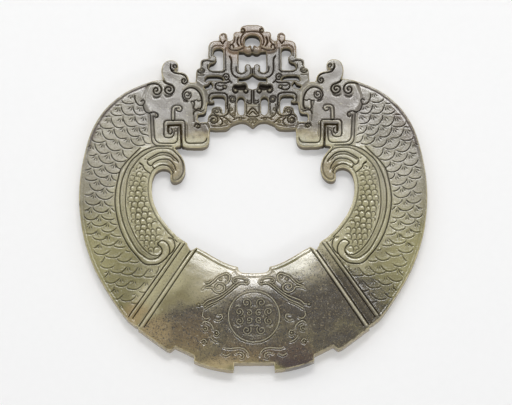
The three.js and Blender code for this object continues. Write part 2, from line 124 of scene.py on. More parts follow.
HORN_EDGE = [
    *straight((190, 81.9)),
    *curved((188.7, 80.5), (187.8, 76.8), (185.6, 73.6), (182, 71.9), (178, 71.3), (175.3, 70.4)),
    *curved((174.8, 68.9), (177.2, 67.7), (177.9, 65.5), (177, 62.4), (174.5, 60.2), (170.8, 59.4),
            (167, 60), (163.6, 62.2), (161.8, 65.5), (161, 69), (161.1, 73), (162.2, 76.8)),
    *straight((162.6, 79)),
]
BACK_EDGE = curved((157, 79.6), (150, 81.1), (140, 84.6), (126, 91), (112.8, 100.6), (103.2, 110.4),
                   (96.3, 120.4), (91.3, 130), (87.7, 140), (85, 150), (82.8, 160), (81, 170), (79.8, 180),
                   (79.1, 190), (79, 200), (79.6, 210), (80.8, 220), (82.4, 230), (84.8, 240), (87.9, 250),
                   (91.6, 260), (96, 270), (101.3, 280), (107.3, 290), (113.8, 300), (120.8, 310),
                   (128.2, 319.4))
BAND_FOOT_EDGE = straight((131.4, 321.8), (135, 324.6), (139, 326.4))
PANEL_FOOT_EDGE = [
    *straight((138.9, 329), (141.5, 330.4)),
    *curved((149.5, 336.4), (155, 340.3), (161, 344.6), (167, 348.8)),
    *straight((170, 349.8), (172, 349)),
    *straight((175.4, 346), (185, 350.6), (194, 354.8), (194.9, 357), (194.3, 360.4)),
    *curved((200, 362.9), (208, 365.4), (218, 367.7), (226, 369.1), (233.8, 369.7)),
    *straight((234, 366), (234.2, 362.6)),
]
OUTER_EDGE = [
    *CAP_EDGE,
    *SHOULDER_EDGE,
    *KNOB_EDGE,
    *BRACKET_EDGE,
    *HORN_EDGE,
    *BACK_EDGE,
    *BAND_FOOT_EDGE,
    *PANEL_FOOT_EDGE,
]

# The edge of the great central opening, left half, from the crest's point round to the panel's middle
CREST_FOOT_EDGE = [
    *curved((252, 125.9), (249.6, 123.8), (246.3, 121.7), (242.5, 120.9), (238.5, 121.3), (234, 122.9),
            (230.8, 124.5)),
    *curved((229.2, 126.8), (226, 128.6), (221, 129.1), (214, 129.1), (209.8, 128.6)),
]
JAW_EDGE = [
    *curved((209.3, 131.5), (209, 141), (207, 145.2), (203, 147.2), (195, 147.5), (187, 147.3)),
    *straight((184.6, 146.4)),
    *straight((180, 145.8), (176.2, 146.4), (174.4, 147.6)),
]
HOOK_EDGE = curved((175, 148.4), (178, 151.8), (181, 155.7), (183.5, 160), (184.9, 164.4), (185.3, 169),
                   (184.7, 173), (182.6, 177.6), (179, 180.9), (175, 182), (171.9, 181.2), (170.3, 178.6),
                   (170.4, 175.4), (170.8, 172.8))
HOOK_HOLLOW_EDGE = curved((169.9, 170.9), (167.4, 169.2), (163, 168.5), (158.6, 169.8), (155.4, 172.6),
                          (153.2, 176.8), (152, 182), (151.6, 189), (152.1, 195), (153.9, 203),
                          (156.4, 209), (160, 216), (165, 222.7), (171, 230), (178, 236.4), (184, 240.8),
                          (187.3, 243.3))
BAND_HEAD_EDGE = straight((188, 246), (190.7, 250), (193.6, 249.2))
PANEL_HEAD_EDGE = [
    *straight((196.6, 247.2)),
    *curved((205, 251.6), (213, 256.4), (223, 261.7), (232, 265.3), (237.8, 266.7)),
    *curved((238.4, 269.6), (240.5, 271.8), (245, 272.7), (254.5, 273)),
]
CENTRAL_EDGE = [
    *CREST_FOOT_EDGE,
    *JAW_EDGE,
    *HOOK_EDGE,
    *HOOK_HOLLOW_EDGE,
    *BAND_HEAD_EDGE,
    *PANEL_HEAD_EDGE,
]

# The crest's openings on the axis, left halves
ARCH_OPENING = [
    *curved((252, 33.9), (248.8, 34.5), (246, 36.3), (244.6, 39.3), (244.6, 43), (245.7, 45.6)),
    *curved((247.8, 45.8), (249.8, 44.4), (251, 44.9), (251.7, 47.4)),
]
SCROLL_OPENING = [
    *curved((251.8, 51.6), (249.8, 52.8), (246.6, 52.8), (243.8, 51.1)),
    *straight((238.5, 50.7), (238.3, 68.4)),
    *curved((239.2, 70.7), (241.3, 71.6), (243.8, 70.8), (245.6, 68.9), (244.6, 67), (245, 64.6),
            (247.3, 63.2), (249.8, 63.8), (251.3, 66.4)),
]
PEAK_OPENING = [
    *curved((251.9, 73.3), (249.6, 75.2), (246, 76.9), (242, 77.6)),
    *straight((238.4, 77.5), (238.4, 81.6), (244.8, 81)),
    *curved((246.6, 82.4), (247.5, 84.6), (248.4, 87.4), (252.2, 88.6)),
]
AXIS_OPENINGS = [ARCH_OPENING, SCROLL_OPENING, PEAK_OPENING]

# The crest's openings left of the axis
BRACKET_OPENING = [
    *curved((222.9, 49), (221, 47.5), (217.4, 47.2), (214.6, 48.2), (213.2, 50.5), (213, 53.2), (214, 54.8),
            (215.8, 56), (216.3, 58), (215.4, 60), (213.5, 62), (210.6, 63.1), (208.9, 65), (209, 67.6),
            (210.6, 69.2), (213.5, 69.7)),
    *straight((221.9, 69.5), (223.2, 68)),
]
SLOT_OPENING = [
    *curved((205, 80.6), (205.2, 77.6), (207, 75.8), (210, 75.2), (214, 75.1), (218, 75.3), (221.4, 76.2),
            (223.6, 78.2)),
    *straight((223.6, 79.8), (208, 79.8), (206.4, 81.2)),
]
HORN_SIDE_OPENING = curved((210.3, 80.9), (211.8, 83), (212.7, 85.4), (211.4, 87.4), (208.6, 88.4),
                           (205.6, 88.7), (204, 87.4), (203.6, 85.7), (206, 84.9), (208.6, 83.8))
MOUTH_OPENING = [
    *curved((211, 98.3), (211.8, 96.6), (213.8, 95.6), (218, 95.4), (222, 95.6), (224.1, 96.7),
            (224.9, 98.8)),
    *straight((225, 112.2), (223.7, 113.2)),
    *curved((222.3, 112.6), (222.3, 110.4), (221.7, 108.1), (220.3, 106.4), (218.2, 105.7), (215.4, 105.9),
            (213, 106.9), (211.5, 108.7), (211.1, 111.6), (210, 113.6), (208.4, 115.4), (207.7, 118),
            (207.6, 120.6)),
    *straight((206.4, 122), (199.2, 122), (197.3, 120.4), (197.3, 115.4)),
    *curved((198.6, 114.1), (201.2, 113.8), (203.6, 113.4), (205.4, 111.8), (206.2, 109.4), (206.6, 106),
            (206.8, 103.2)),
    *curved((207.9, 101.9), (210.2, 102.3), (213, 101.9), (214.3, 100.9), (213.6, 99.9), (212, 99.6)),
]
WINDOW_OPENING = curved((237.2, 104), (237.2, 99.8), (238.4, 97.3), (241, 96.3), (243.4, 97.4),
                        (244.2, 100), (244.3, 105), (244.3, 110), (243.7, 113.3), (241.7, 114.7),
                        (239.4, 114), (237.8, 111.9), (237.2, 108))
SIDE_OPENINGS = [BRACKET_OPENING, SLOT_OPENING, HORN_SIDE_OPENING, MOUTH_OPENING, WINDOW_OPENING]

# The jaw slit, from its square eye to the central opening
JAW_SLIT = straight((168, 131), (168, 125.2), (180.3, 124.8), (181.6, 149))


# The sculpting grid. Only the left half is worked, and then mirrored.
grid_x = LEFT + STEP * np.arange(COLUMNS)
grid_y = BOTTOM + STEP * np.arange(ROWS)
X, Y = np.meshgrid(grid_x, grid_y)


def window(low, high, columns):
    """The rows and columns of the grid between two corners."""
    i0 = max(0, int((low[0] - LEFT) / STEP))
    i1 = min(columns, int((high[0] - LEFT) / STEP) + 2)
    j0 = max(0, int((low[1] - BOTTOM) / STEP))
    j1 = min(ROWS, int((high[1] - BOTTOM) / STEP) + 2)
    return (slice(j0, j1), slice(i0, i1)) if i1 > i0 and j1 > j0 else None


def near(path, reach, columns=HALF, closed=False, sided=False):
    """The distance to a path, how far along it the nearest point is, from 0 to 1, and the side."""
    p = np.array(path, float)
    if closed:
        p = np.vstack([p, p[:1]])
    around = window(p.min(0) - reach, p.max(0) + reach, columns)
    if around is None:
        return None
    area = (slice(0, ROWS), slice(0, columns)) if closed else around
    origin = (area[0].start, area[1].start)
    dist = np.full((area[0].stop - origin[0], area[1].stop - origin[1]), float(reach))
    along = np.zeros_like(dist)
    side = np.zeros_like(dist)
    lengths = np.hypot(*(p[1:] - p[:-1]).T)
    total = max(lengths.sum(), 1e-9)
    run = 0.0
    for a, b, length in zip(p[:-1], p[1:], lengths):
        box = window(np.minimum(a, b) - reach, np.maximum(a, b) + reach, columns)
        if box is None or length < 1e-9:
            run += length
            continue
        sub = (slice(box[0].start - origin[0], box[0].stop - origin[0]),
               slice(box[1].start - origin[1], box[1].stop - origin[1]))
        dx, dy = X[box] - a[0], Y[box] - a[1]
        u = (b - a) / length
        t = np.clip(dx * u[0] + dy * u[1], 0, length)
        d = np.hypot(dx - t * u[0], dy - t * u[1])
        closer = d < dist[sub]
        dist[sub][closer] = d[closer]
        along[sub][closer] = ((run + t) / total)[closer]
        if sided:
            side[sub][closer] = (u[0] * dy - u[1] * dx)[closer]
        run += length
    return (area, dist, along, side) if sided else (area, dist, along)


def inside(loops, columns=COLUMNS):
    """Which grid points an even number of the loops' edges doesn't cut off."""
    toggle = np.zeros((ROWS, columns + 1), int)
    for loop in loops:
        p = np.array(loop, float)
        for a, b in zip(p, np.roll(p, -1, 0)):
            if a[1] == b[1]:
                continue
            low, high = (a, b) if a[1] < b[1] else (b, a)
            j0 = math.ceil((low[1] - BOTTOM) / STEP)
            j1 = math.ceil((high[1] - BOTTOM) / STEP)
            rows = np.arange(max(j0, 0), min(j1, ROWS))
            if len(rows) == 0:
                continue
            x = low[0] + (BOTTOM + rows * STEP - low[1]) / (high[1] - low[1]) * (high[0] - low[0])
            i = np.clip(np.ceil((x - LEFT) / STEP).astype(int), 0, columns)
            np.add.at(toggle, (rows, i), 1)
    return np.cumsum(toggle, 1)[:, :columns] % 2 == 1


def blurred(field, radius):
    """Three box blurs, close to a Gaussian of that radius in millimetres."""
    n = max(1, int(round(radius / STEP)))
    for axis in (0, 1) * 3:
        padded = np.pad(field, [(n + 1, n) if k == axis else (0, 0) for k in (0, 1)], mode="edge")
        total = np.cumsum(padded, axis)
        top = total.take(range(2 * n + 1, total.shape[axis]), axis)
        low = total.take(range(0, total.shape[axis] - 2 * n - 1), axis)
        field = (top - low) / (2 * n + 1)
    return field


def smooth(low, high, value):
    """Nought at low and one at high, with a soft step between them."""
    t = np.clip((value - low) / (high - low), 0, 1)
    return t * t * (3 - 2 * t)


# The plaque's silhouette, as a distance that is positive in the stone
openings = [both_halves(o) for o in AXIS_OPENINGS] + SIDE_OPENINGS + [mirrored(o) for o in SIDE_OPENINGS]
loops = [both_halves(OUTER_EDGE), both_halves(CENTRAL_EDGE)] + openings

stone = inside(loops)
edge_gap = np.full((ROWS, COLUMNS), SDF_REACH)
for loop in loops:
    box, dist, _ = near(loop, SDF_REACH, COLUMNS, closed=True)
    edge_gap[box] = np.minimum(edge_gap[box], dist)
phi = np.where(stone, edge_gap, -edge_gap)
for slit in (JAW_SLIT, mirrored(JAW_SLIT)):
    box, dist, _ = near(slit, SDF_REACH, COLUMNS)
    phi[box] = np.minimum(phi[box], np.where(dist < SDF_REACH, dist - SLIT_HALF, SDF_REACH))
# Painted shade for the walls of the openings, the jaw slit and the mouth, and less for the central opening's
# edge
opening_shade = np.zeros((ROWS, COLUMNS))
MOUTH = straight((206, 112.8), (197.6, 114.4), (197.2, 121.4), (207, 122.2))
shaded_openings = openings + [JAW_SLIT, mirrored(JAW_SLIT), MOUTH, mirrored(MOUTH)]
for loop, dark in [(o, 1.0) for o in shaded_openings] + [(both_halves(CENTRAL_EDGE), 0.7)]:
    box, dist, _ = near(loop, SHADE_REACH, COLUMNS)
    opening_shade[box] = np.maximum(opening_shade[box], dark * (dist < SHADE_REACH))

# Which member each cell belongs to, from the frame's solids
names = sorted(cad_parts)
label = np.full((ROWS, COLUMNS), -1)
for n, name in enumerate(names):
    if name == "roundel":
        continue
    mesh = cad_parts[name].data
    co = np.array([v.co for v in mesh.vertices]) * 1000
    for face in mesh.polygons:
        p = co[list(face.vertices)]
        if p[:, 2].max() > 0.01:
            continue
        box = window(p[:, :2].min(0) - STEP, p[:, :2].max(0) + STEP, COLUMNS)
        px, py = X[box], Y[box]
        (ax, ay), (bx, by), (cx, cy) = p[0, :2], p[1, :2], p[2, :2]
        s1 = (bx - ax) * (py - ay) - (by - ay) * (px - ax)
        s2 = (cx - bx) * (py - by) - (cy - by) * (px - bx)
        s3 = (ax - cx) * (py - cy) - (ay - cy) * (px - cx)
        hit = ((s1 >= -0.01) & (s2 >= -0.01) & (s3 >= -0.01)) | ((s1 <= 0.01) & (s2 <= 0.01) & (s3 <= 0.01))
        label[box][hit] = n
for _ in range(FILL_STEPS):
    empty = label < 0
    if not empty.any():
        break
    for shift, axis in ((1, 0), (-1, 0), (1, 1), (-1, 1)):
        moved = np.roll(label, shift, axis)
        take = empty & (moved >= 0)
        label[take] = moved[take]
        empty &= ~take


def settled(size):
    """Each cell's member, by which one holds most of the stone near it, so no piece gets slivers."""
    votes = np.stack([blurred((stone & (label == n)).astype(float), size) for n in range(len(names))])
    return np.where(votes.max(0) > 0.02, votes.argmax(0), label)


def in_one_piece(marks, where):
    """Passes any part of a member that is cut off from its largest part to the member beside it."""
    for n in range(len(names)):
        region = where & (marks == n)
        if not region.any():
            continue
        j, i = np.nonzero(region)
        box = (slice(max(j.min() - 1, 0), j.max() + 2), slice(max(i.min() - 1, 0), i.max() + 2))
        rest, parts = region[box].copy(), []
        while rest.any():
            part = np.zeros_like(rest)
            part[np.unravel_index(np.argmax(rest), rest.shape)] = True
            size = 0
            while part.sum() > size:
                size = part.sum()
                for _ in range(10):
                    for step, axis in ((1, 0), (-1, 0), (1, 1), (-1, 1)):
                        part |= np.roll(part, step, axis) & rest
            parts.append(part)
            rest &= ~part
        largest = max(parts, key=np.sum)
        marks[box][region[box] & ~largest] = -1
    for _ in range(40):
        for step, axis in ((1, 0), (-1, 0), (1, 1), (-1, 1)):
            moved = np.roll(marks, step, axis)
            take = (marks < 0) & (moved >= 0)
            marks[take] = moved[take]
    return marks


middles = (slice(BACK_STRIDE // 2, None, BACK_STRIDE),) * 2
coarse = in_one_piece(settled(0.8)[middles], phi[middles] > 0)
back_label = np.repeat(np.repeat(coarse, BACK_STRIDE, 0), BACK_STRIDE, 1)
label = in_one_piece(settled(0.35), phi > -1.5 * STEP)


def face_level(name):
    """The height of a solid's flat face: the level at which most of its area looks up."""
    areas = {}
    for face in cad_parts[name].data.polygons:
        if face.normal.z > 0.99:
            level = round(face.center.z * 1000, 2)
            areas[level] = areas.get(level, 0) + face.area
    return max(areas, key=areas.get)


tops = np.array([face_level(name) for name in names])

height = blurred(tops[label[:, :HALF]], 0.4)
dirt = np.zeros((ROWS, HALF))
lift = np.zeros((ROWS, HALF))
stain = np.zeros((ROWS, HALF))
gap = phi[:, :HALF]


def cut(path, wide=0.42, deep=0.28, dark=1.0, taper=0.0):
    """A ground groove along a path. Taper thins it towards both ends."""
    found = near(path, wide * 2.2)
    if found is None:
        return
    box, dist, along = found
    ends = 1.0 if not taper else np.clip(np.minimum(along, 1 - along) / taper, 0.15, 1)
    f = np.exp(-(dist / (wide * 0.45)) ** 2) * ends
    f[dist >= wide * 2.2 - 1e-6] = 0
    height[box] -= deep * f
    dirt[box] = np.maximum(dirt[box], np.minimum(1, 1.6 * dark * f))


def raise_line(path, wide=0.8, high=0.3, soft=0.18, taper=0.0):
    """A raised line with soft sides, painted lighter as a highlight."""
    reach = wide / 2 + soft + 0.1
    found = near(path, reach)
    if found is None:
        return
    box, dist, along = found
    ends = 1.0 if not taper else np.clip(np.minimum(along, 1 - along) / taper, 0.1, 1)
    f = smooth(wide / 2 + soft, wide / 2 - soft, dist) * ends
    height[box] += high * f
    lift[box] = np.maximum(lift[box], f)


def cord(path, wide=0.7, high=0.22, groove=0.36, deep=0.24, dark=0.9):
    """A raised line between two grooves, painted lighter as a highlight."""
    reach = wide / 2 + groove * 2.2
    found = near(path, reach)
    if found is None:
        return
    box, dist, _ = found
    f = np.exp(-((dist - wide / 2 - groove * 0.5) / (groove * 0.55)) ** 2)
    f[dist >= reach - 1e-6] = 0
    ridge = smooth(wide / 2 + 0.12, wide / 2 - 0.2, dist)
    height[box] += high * ridge - deep * f
    dirt[box] = np.maximum(dirt[box], dark * f)
    lift[box] = np.maximum(lift[box], ridge)


def bead(centre_px, radius=0.75, high=0.35, dark=0.8):
    """A small dome in a ring groove, the dome painted lighter as a highlight."""
    cx, cy = to_face(centre_px)
    box = window((cx - 3 * radius, cy - 3 * radius), (cx + 3 * radius, cy + 3 * radius), HALF)
    if box is None:
        return
    r = np.hypot(X[box] - cx, Y[box] - cy)
    dome = np.sqrt(np.clip(1 - (r / radius) ** 2, 0, 1))
    ring = np.exp(-((r - radius * 1.15) / 0.2) ** 2)
    height[box] += high * dome - 0.2 * ring
    dirt[box] = np.maximum(dirt[box], dark * ring)
    lift[box] = np.maximum(lift[box], dome)


def smudge(centre_px, wide, dark):
    """A soft brown spot in the stone."""
    cx, cy = to_face(centre_px)
    box = window((cx - 3 * wide, cy - 3 * wide), (cx + 3 * wide, cy + 3 * wide), HALF)
    spot = dark * np.exp(-(np.hypot(X[box] - cx, Y[box] - cy) / wide) ** 2)
    stain[box] = np.maximum(stain[box], spot)


def sink(outline, deep, soft=0.3, dark=0.0):
    """A sunk field with soft sides."""
    f = blurred(inside([outline], HALF).astype(float), soft)
    height[:] -= deep * f
    np.maximum(dirt, dark * f, out=dirt)


def swell(outline, high, wide):
    """A face that rises in a round from its outline."""
    box, dist, _ = near(list(outline) + [outline[0]], wide * 1.5)
    field = inside([outline], HALF)
    rise = np.where(field, float(wide), 0.0)
    rise[box] = np.where(field[box], np.minimum(dist, wide), 0)
    height[:] += high * np.sqrt(np.clip(1 - (1 - rise / wide) ** 2, 0, 1)) * field


def arch(cx, cy, half, long, turn, lift_by, deep, dark):
    """One small scale, drawn over those above it: a dome with a line over its top and down its left."""
    reach = max(half, long) * 2.6
    box = window((cx - reach, cy - reach), (cx + reach, cy + reach), HALF)
    c, s = math.cos(turn), math.sin(turn)
    dx, dy = X[box] - cx, Y[box] - cy
    u = (dx * c + dy * s) / half
    v = (dy * c - dx * s) / long
    r = np.where(v > 0, np.hypot(u, v), np.abs(u))
    inner = (r < 1.12) & (v > -2.2)
    dome = np.clip(1 - r ** 4, 0, 1) * np.clip(0.9 + 0.5 * v, 0.1, 1) * (1 - 0.25 * u)
    line = np.exp(-((1 - r) * half / 0.22) ** 2) * smooth(-0.7, 0.5, v - 0.5 * u)
    scales_h[box][inner] = (lift_by * dome - deep * line)[inner]
    scales_d[box][inner] = (dark * line)[inner]

# The long scales of the back, read from the photograph: where each rounded end starts, its lowest point and
# where it stops, from the head down
BACK_SCALES = (
    ((121, 99), (128, 103.5), (134, 102.5)), ((114.5, 104), (116.5, 104.7), (119.5, 104.5)),
    ((120.5, 104.7), (128, 114.8), (134.5, 114.3)), ((132.3, 104.5), (139, 114.7), (145.7, 113.3)),
    ((143.4, 106.3), (148.5, 112.6), (150, 112.5)), ((110.2, 111), (117.5, 115.4), (122.3, 114.6)),
    ((99, 123.3), (107.3, 128.4), (113.5, 127)), ((110.4, 116), (118.8, 127.5), (124.5, 126.2)),
    ((122.3, 114.8), (130.5, 126.5), (136.5, 125.4)), ((134.4, 115), (141.5, 124.6), (146.5, 124.5)),
    ((101.5, 129), (109.8, 139.5), (115, 139.6)), ((113.3, 127.2), (121.3, 138.4), (127.5, 137.2)),
    ((126.3, 127), (134.5, 136.4), (140.5, 135)), ((138.5, 126.7), (144.5, 134.3), (149.4, 136.8)),
    ((91.6, 138.5), (99, 142.3), (105.5, 140.4)), ((94.2, 142), (103.3, 153.5), (110, 151.4)),
    ((105.5, 141), (115, 150.6), (121.2, 149.1)), ((118.3, 139.5), (127.5, 148.6), (134, 146.4)),
    ((130.3, 137), (139.3, 145.5), (146, 143.4)), ((142.4, 135.8), (148.6, 143.5), (150.5, 143.3)),
    ((87.3, 159.5), (96.3, 167.5), (103, 164.3)), ((98, 154), (107.6, 163.6), (114.5, 161.2)),
    ((110.5, 152), (120, 161.6), (127, 159.6)), ((122.2, 149), (128.6, 158), (129, 158.2)),
    ((93.4, 168.2), (102.2, 177.5), (109.6, 174.5)), ((104.2, 165), (114.4, 173.5), (121.2, 170.4)),
    ((115.3, 162.5), (121.4, 168.8), (122, 169)), ((84.8, 177.3), (91, 180.6), (98, 178.2)),
    ((98.8, 178.8), (109.5, 186.8), (115.3, 185)), ((111.2, 174.3), (116.4, 180.3), (117, 180.5)),
    ((89.2, 182.5), (97.7, 190.8), (105, 187)), ((106.2, 187.6), (113, 192.6), (114, 192.6)),
    ((95.5, 191.8), (105.7, 199.4), (113.7, 194.6)), ((85.2, 199.8), (93.5, 205), (101.3, 200.4)),
    ((104.1, 200.3), (111.3, 206), (113, 206.4)), ((92.7, 206.2), (101.8, 212.4), (109.5, 207.9)),
    ((84, 214.6), (91, 219.8), (99.7, 214.3)), ((101.2, 214.4), (109.5, 219.6), (115, 218.4)),
    ((91.4, 221.3), (99.5, 226.1), (107.6, 222)), ((110.1, 221.2), (115, 224.3), (117, 224.6)),
    ((101.2, 228.2), (108.8, 231.9), (117.6, 226.4)), ((92.4, 235.4), (100.3, 239.8), (109.2, 234.7)),
    ((110.9, 233), (118.3, 236.4), (121.3, 236.4)), ((101, 241.3), (109.3, 245.6), (118.3, 239.9)),
    ((113.9, 244.7), (120.5, 247.3), (126, 246)), ((94, 250), (101.8, 254.5), (110.2, 250.6)),
    ((125.9, 249.8), (128.8, 251.5), (130.8, 251.5)), ((105.1, 254.6), (114, 257.7), (122.6, 252.4)),
    ((117.2, 257.8), (125.3, 261.8), (132.4, 257)), ((130, 261.5), (135, 262.6), (139.6, 261.3)),
    ((100.6, 264.3), (107.6, 267.9), (115, 265.3)), ((110.2, 269), (118.8, 272.8), (127, 266.6)),
    ((121.2, 271.4), (128.5, 274.7), (138.3, 267.7)), ((131.6, 273.3), (139.5, 276.7), (148.6, 268.4)),
    ((143.8, 275.6), (150, 276.9), (155.4, 275.5)), ((105.4, 280), (111.8, 282.8), (119.4, 278.5)),
    ((115.8, 283.3), (122.3, 286.1), (130.6, 281)), ((126.9, 286.8), (134.8, 289.1), (144, 282.6)),
    ((139.3, 290.4), (144, 292.1), (148, 290.6)), ((120.8, 298.3), (127.8, 300.7), (136.7, 295.2)),
    ((131.4, 301.5), (135, 303.2), (138.5, 303.6)),
)
# Scales that the edge or a neighbour covers all but one side of, as three points along that side
BACK_SCALE_SIDES = (
    ((104.6, 116.4), (107.5, 115.8), (110.3, 115.7)), ((96.4, 129.3), (99.6, 128.3), (101.4, 129)),
    ((88.5, 155.1), (92, 155.5), (97, 153.8)), ((84.6, 170.1), (88, 169.4), (91.3, 168.1)),
    ((84.3, 194.7), (89.5, 195), (94, 192)), ((84.3, 210.5), (87.7, 209.4), (91, 207.2)),
    ((111, 207.6), (113.1, 210), (114.8, 211.5)), ((87.3, 224.7), (89, 223.8), (90.4, 222.4)),
    ((85.8, 233.6), (92.5, 233.7), (98, 230)), ((93.6, 248), (97, 246.7), (100, 244)),
    ((100.9, 263), (104, 259.2), (105, 256)), ((155.8, 273.6), (158.2, 270.2), (159, 265.8)),
    ((104.6, 277.4), (108, 273.2), (109.4, 269.8)), ((110.5, 292.5), (113.6, 289.7), (114.6, 286.5)),
    ((114.1, 298.8), (119, 298.3), (123.9, 294)),
)
# Where the short strokes on each scale fan out from
BACK_SCALE_FANS = ((131.3, 92.8), (118.6, 106.2), (131.8, 104.8), (141, 105.7), (108.7, 117.3),
                   (121, 116.5), (132.9, 115.8), (144.5, 115.3), (99.6, 130.2), (111.9, 128.7),
                   (124.3, 126.8), (136.1, 126.4), (146.9, 125.8), (103.4, 142.3), (116.8, 139.1),
                   (128.4, 137.4), (140.4, 135.8), (92.3, 143.9), (96.4, 155.2), (108.7, 153.7),
                   (120.6, 150.7), (114.9, 162.8), (102.5, 166.5), (91.6, 169.8), (110.1, 175.9),
                   (97.7, 180), (104.9, 188.6), (94.4, 193.2), (102.4, 201.4), (91.3, 208.3), (109.9, 209),
                   (100, 216.2), (108.2, 221.9), (90.6, 223.7), (99.3, 229.9), (109.3, 234.4),
                   (121.4, 238.6), (100.7, 243.1), (110.1, 270), (129, 265.1), (140.5, 265.1),
                   (151.5, 266.5), (122.3, 276.3), (135.3, 278.7), (147.2, 280.2), (117.4, 287),
                   (138.1, 292), (121.7, 302.5),)
back = label[:, :HALF] == names.index("left_dragon_body")
inner_field = smooth(0.7, 1.2, gap)


def scale_end(start, lowest, end):
    """The rounded end of a scale, in pixels: a quarter of an ellipse down, then a soft rise."""
    (x0, y0), (x1, y1), (x2, y2) = start, lowest, end
    down = [(x1 - (x1 - x0) * math.cos(a),
             y0 + (y1 - y0) * math.sin(a)) for a in np.linspace(0, math.pi / 2, 5)]
    return down + [(x1 + (x2 - x1) * t, y1 + (y2 - y1) * t * t) for t in (0.25, 0.5, 0.75, 1)]


def scale_line(path, fade):
    """A fine cut line, darker and shallower high on the back, with a low step on its inner side."""
    box, dist, along, side = near(path, 2.4, sided=True)
    ends = np.clip(np.minimum(along, 1 - along) / 0.1, 0.3, 1)
    here = np.where(back[box], inner_field[box], 0) * ends
    ramp = np.where(side > 0, np.exp(-(dist / 0.8) ** 2), 0)
    line = np.exp(-(dist / 0.18) ** 2)
    height[box] += ((0.035 - 0.025 * fade) * ramp * (dist < 2.39) - (0.16 - 0.09 * fade) * line) * here
    dirt[box] = np.maximum(dirt[box], np.minimum(1, (0.95 + 0.75 * fade) * line) * here)


for start, lowest, end in BACK_SCALES:
    scale_line(curved(*scale_end(start, lowest, end)), smooth(235, 180, (start[1] + end[1]) / 2))
for side_px in BACK_SCALE_SIDES:
    scale_line(curved(*side_px), smooth(235, 180, (side_px[0][1] + side_px[-1][1]) / 2))

# The strokes of a fan: which way each runs, in degrees, and where it stops, in millimetres
FAN_STROKES = ((-142, 2.5), (-112, 2.5), (-82, 2.3))
FAN_FROM = 0.6
for x_px, y_px in BACK_SCALE_FANS:
    fade = smooth(260, 180, y_px)
    apex = to_face((x_px, y_px))
    for degrees, long in FAN_STROKES:
        way = math.radians(degrees + 8 * math.sin(x_px * 1.7 + y_px))
        c, s = math.cos(way), math.sin(way)
        cut([(apex[0] + reach * c, apex[1] + reach * s) for reach in (FAN_FROM, long)], 0.34, 0.1,
            0.7 + 0.25 * fade, 0.4)

# The edge of the back, with soil left inside it high up
box, dist, _ = near(BACK_EDGE, 4.5)
high_up = smooth(to_face((90, 172))[1], to_face((90, 140))[1], Y[box])
height[box] -= np.where(back[box], 0.05 * np.exp(-((dist - 1.3) / 0.35) ** 2), 0)
darkening = 0.75 * np.exp(-((dist - 1.05) / 0.2) ** 2) * high_up
dirt[box] = np.maximum(dirt[box], np.where(back[box], darkening, 0))
stain[box] = np.where(back[box], np.exp(-((dist - 1.1) / 0.9) ** 2) * high_up, 0)

# The C-shaped line where the scales meet the cheek
cut(curved((134.2, 95), (134.6, 99), (136.2, 102.6), (138.8, 104.7), (141.8, 105), (143.6, 103.4),
           (143.9, 101), (142.4, 99.4), (140.6, 100.6)), dark=0.9)
cut(curved((142.6, 104.4), (143.4, 108), (144.9, 110.8), (147.2, 112.4), (151, 112.8)), dark=0.9)

# The mane's spiral and the horn's curl
MANE = curved((147, 84.4), (151, 83.4), (155, 83.3), (158.8, 84.9), (160.9, 88), (160.7, 91.2),
              (158.6, 93.6), (155.6, 94), (153.4, 92), (153.2, 89), (155.1, 87.3), (157.2, 88.2),
              (157.1, 90.2), (155.7, 90.8))
cut(MANE, 0.5, 0.42)
# A wide shallow groove under the mane's spiral, darkened as its painted shadow
cut(curved((152, 94.8), (154.6, 97), (158, 96.8), (160.6, 94.6)), 0.9, 0.2, 0.6, 0.2)
HORN_CURL = curved((162.2, 78.4), (164.7, 82), (168.4, 83.9), (172, 85.4), (173.7, 88.8), (172.9, 91.8),
                   (170.3, 93.6), (167.2, 93.2), (164.8, 91), (164.8, 88.2), (167.2, 86.5), (169.9, 87.1),
                   (170.7, 89.2), (169.3, 90.7), (167.8, 89.9))
cut(HORN_CURL, 0.55, 0.46)
# A wide shallow groove under the horn's curl, darkened as its painted shadow
cut(curved((163.6, 93.4), (165.8, 95.6), (170, 95.4), (173.2, 92.8)), 0.9, 0.2, 0.6, 0.2)
EAR = curved((170.2, 67.4), (171.6, 70.6), (174.8, 72.3), (179.4, 73), (183.2, 74.2), (186, 76.7),
             (187.1, 80), (185.8, 82.8), (183, 83.1), (181.5, 80.9), (182.1, 78.8), (184, 78.4),
             (185, 79.8), (184.1, 80.9))
cut(EAR, 0.46, 0.42)
cut(curved((170.3, 64), (170.2, 67.2), (172, 69.6), (174.9, 69.3), (176.4, 67), (175.6, 64.6), (173.5, 64.3),
           (172.8, 66), (174, 67.2)), 0.42, 0.34, 0.95)

# The snout: its spiral eye, the rim round it, and the teeth
cut(curved((187, 100.3), (184.2, 99), (182.3, 95.9), (182.9, 91.8), (185.8, 88.8), (190, 87.2), (194.3, 88),
           (198.3, 91.3), (200.8, 95.8), (201.8, 100.8), (201.5, 106.4), (200.2, 108.8)), 0.5, 0.42)
cut(curved((190.1, 92.3), (190.8, 95.4), (189.3, 98), (186.6, 98.5), (184.5, 96.8), (184.1, 93.9),
           (185.9, 91.8), (188.2, 92), (189.1, 94), (187.9, 95.7), (186.3, 95.1)), 0.4, 0.34, 0.95)
cut(curved((182.4, 98.8), (184.8, 101), (188.6, 101.2)), 0.7, 0.2, 0.6, 0.2)
raise_line(curved((182.8, 88.6), (186.6, 85.4), (192.4, 84.4), (198.4, 86.6), (202.4, 91), (204.1, 97.6),
                  (204, 106), (202.4, 111)), 0.6, 0.14, 0.25)
cut(curved((190.8, 101.4), (193.6, 101), (194, 104), (193.4, 107.4), (195.2, 109.6), (198.6, 108.2),
           (200.2, 108.8)), 0.4, 0.3)
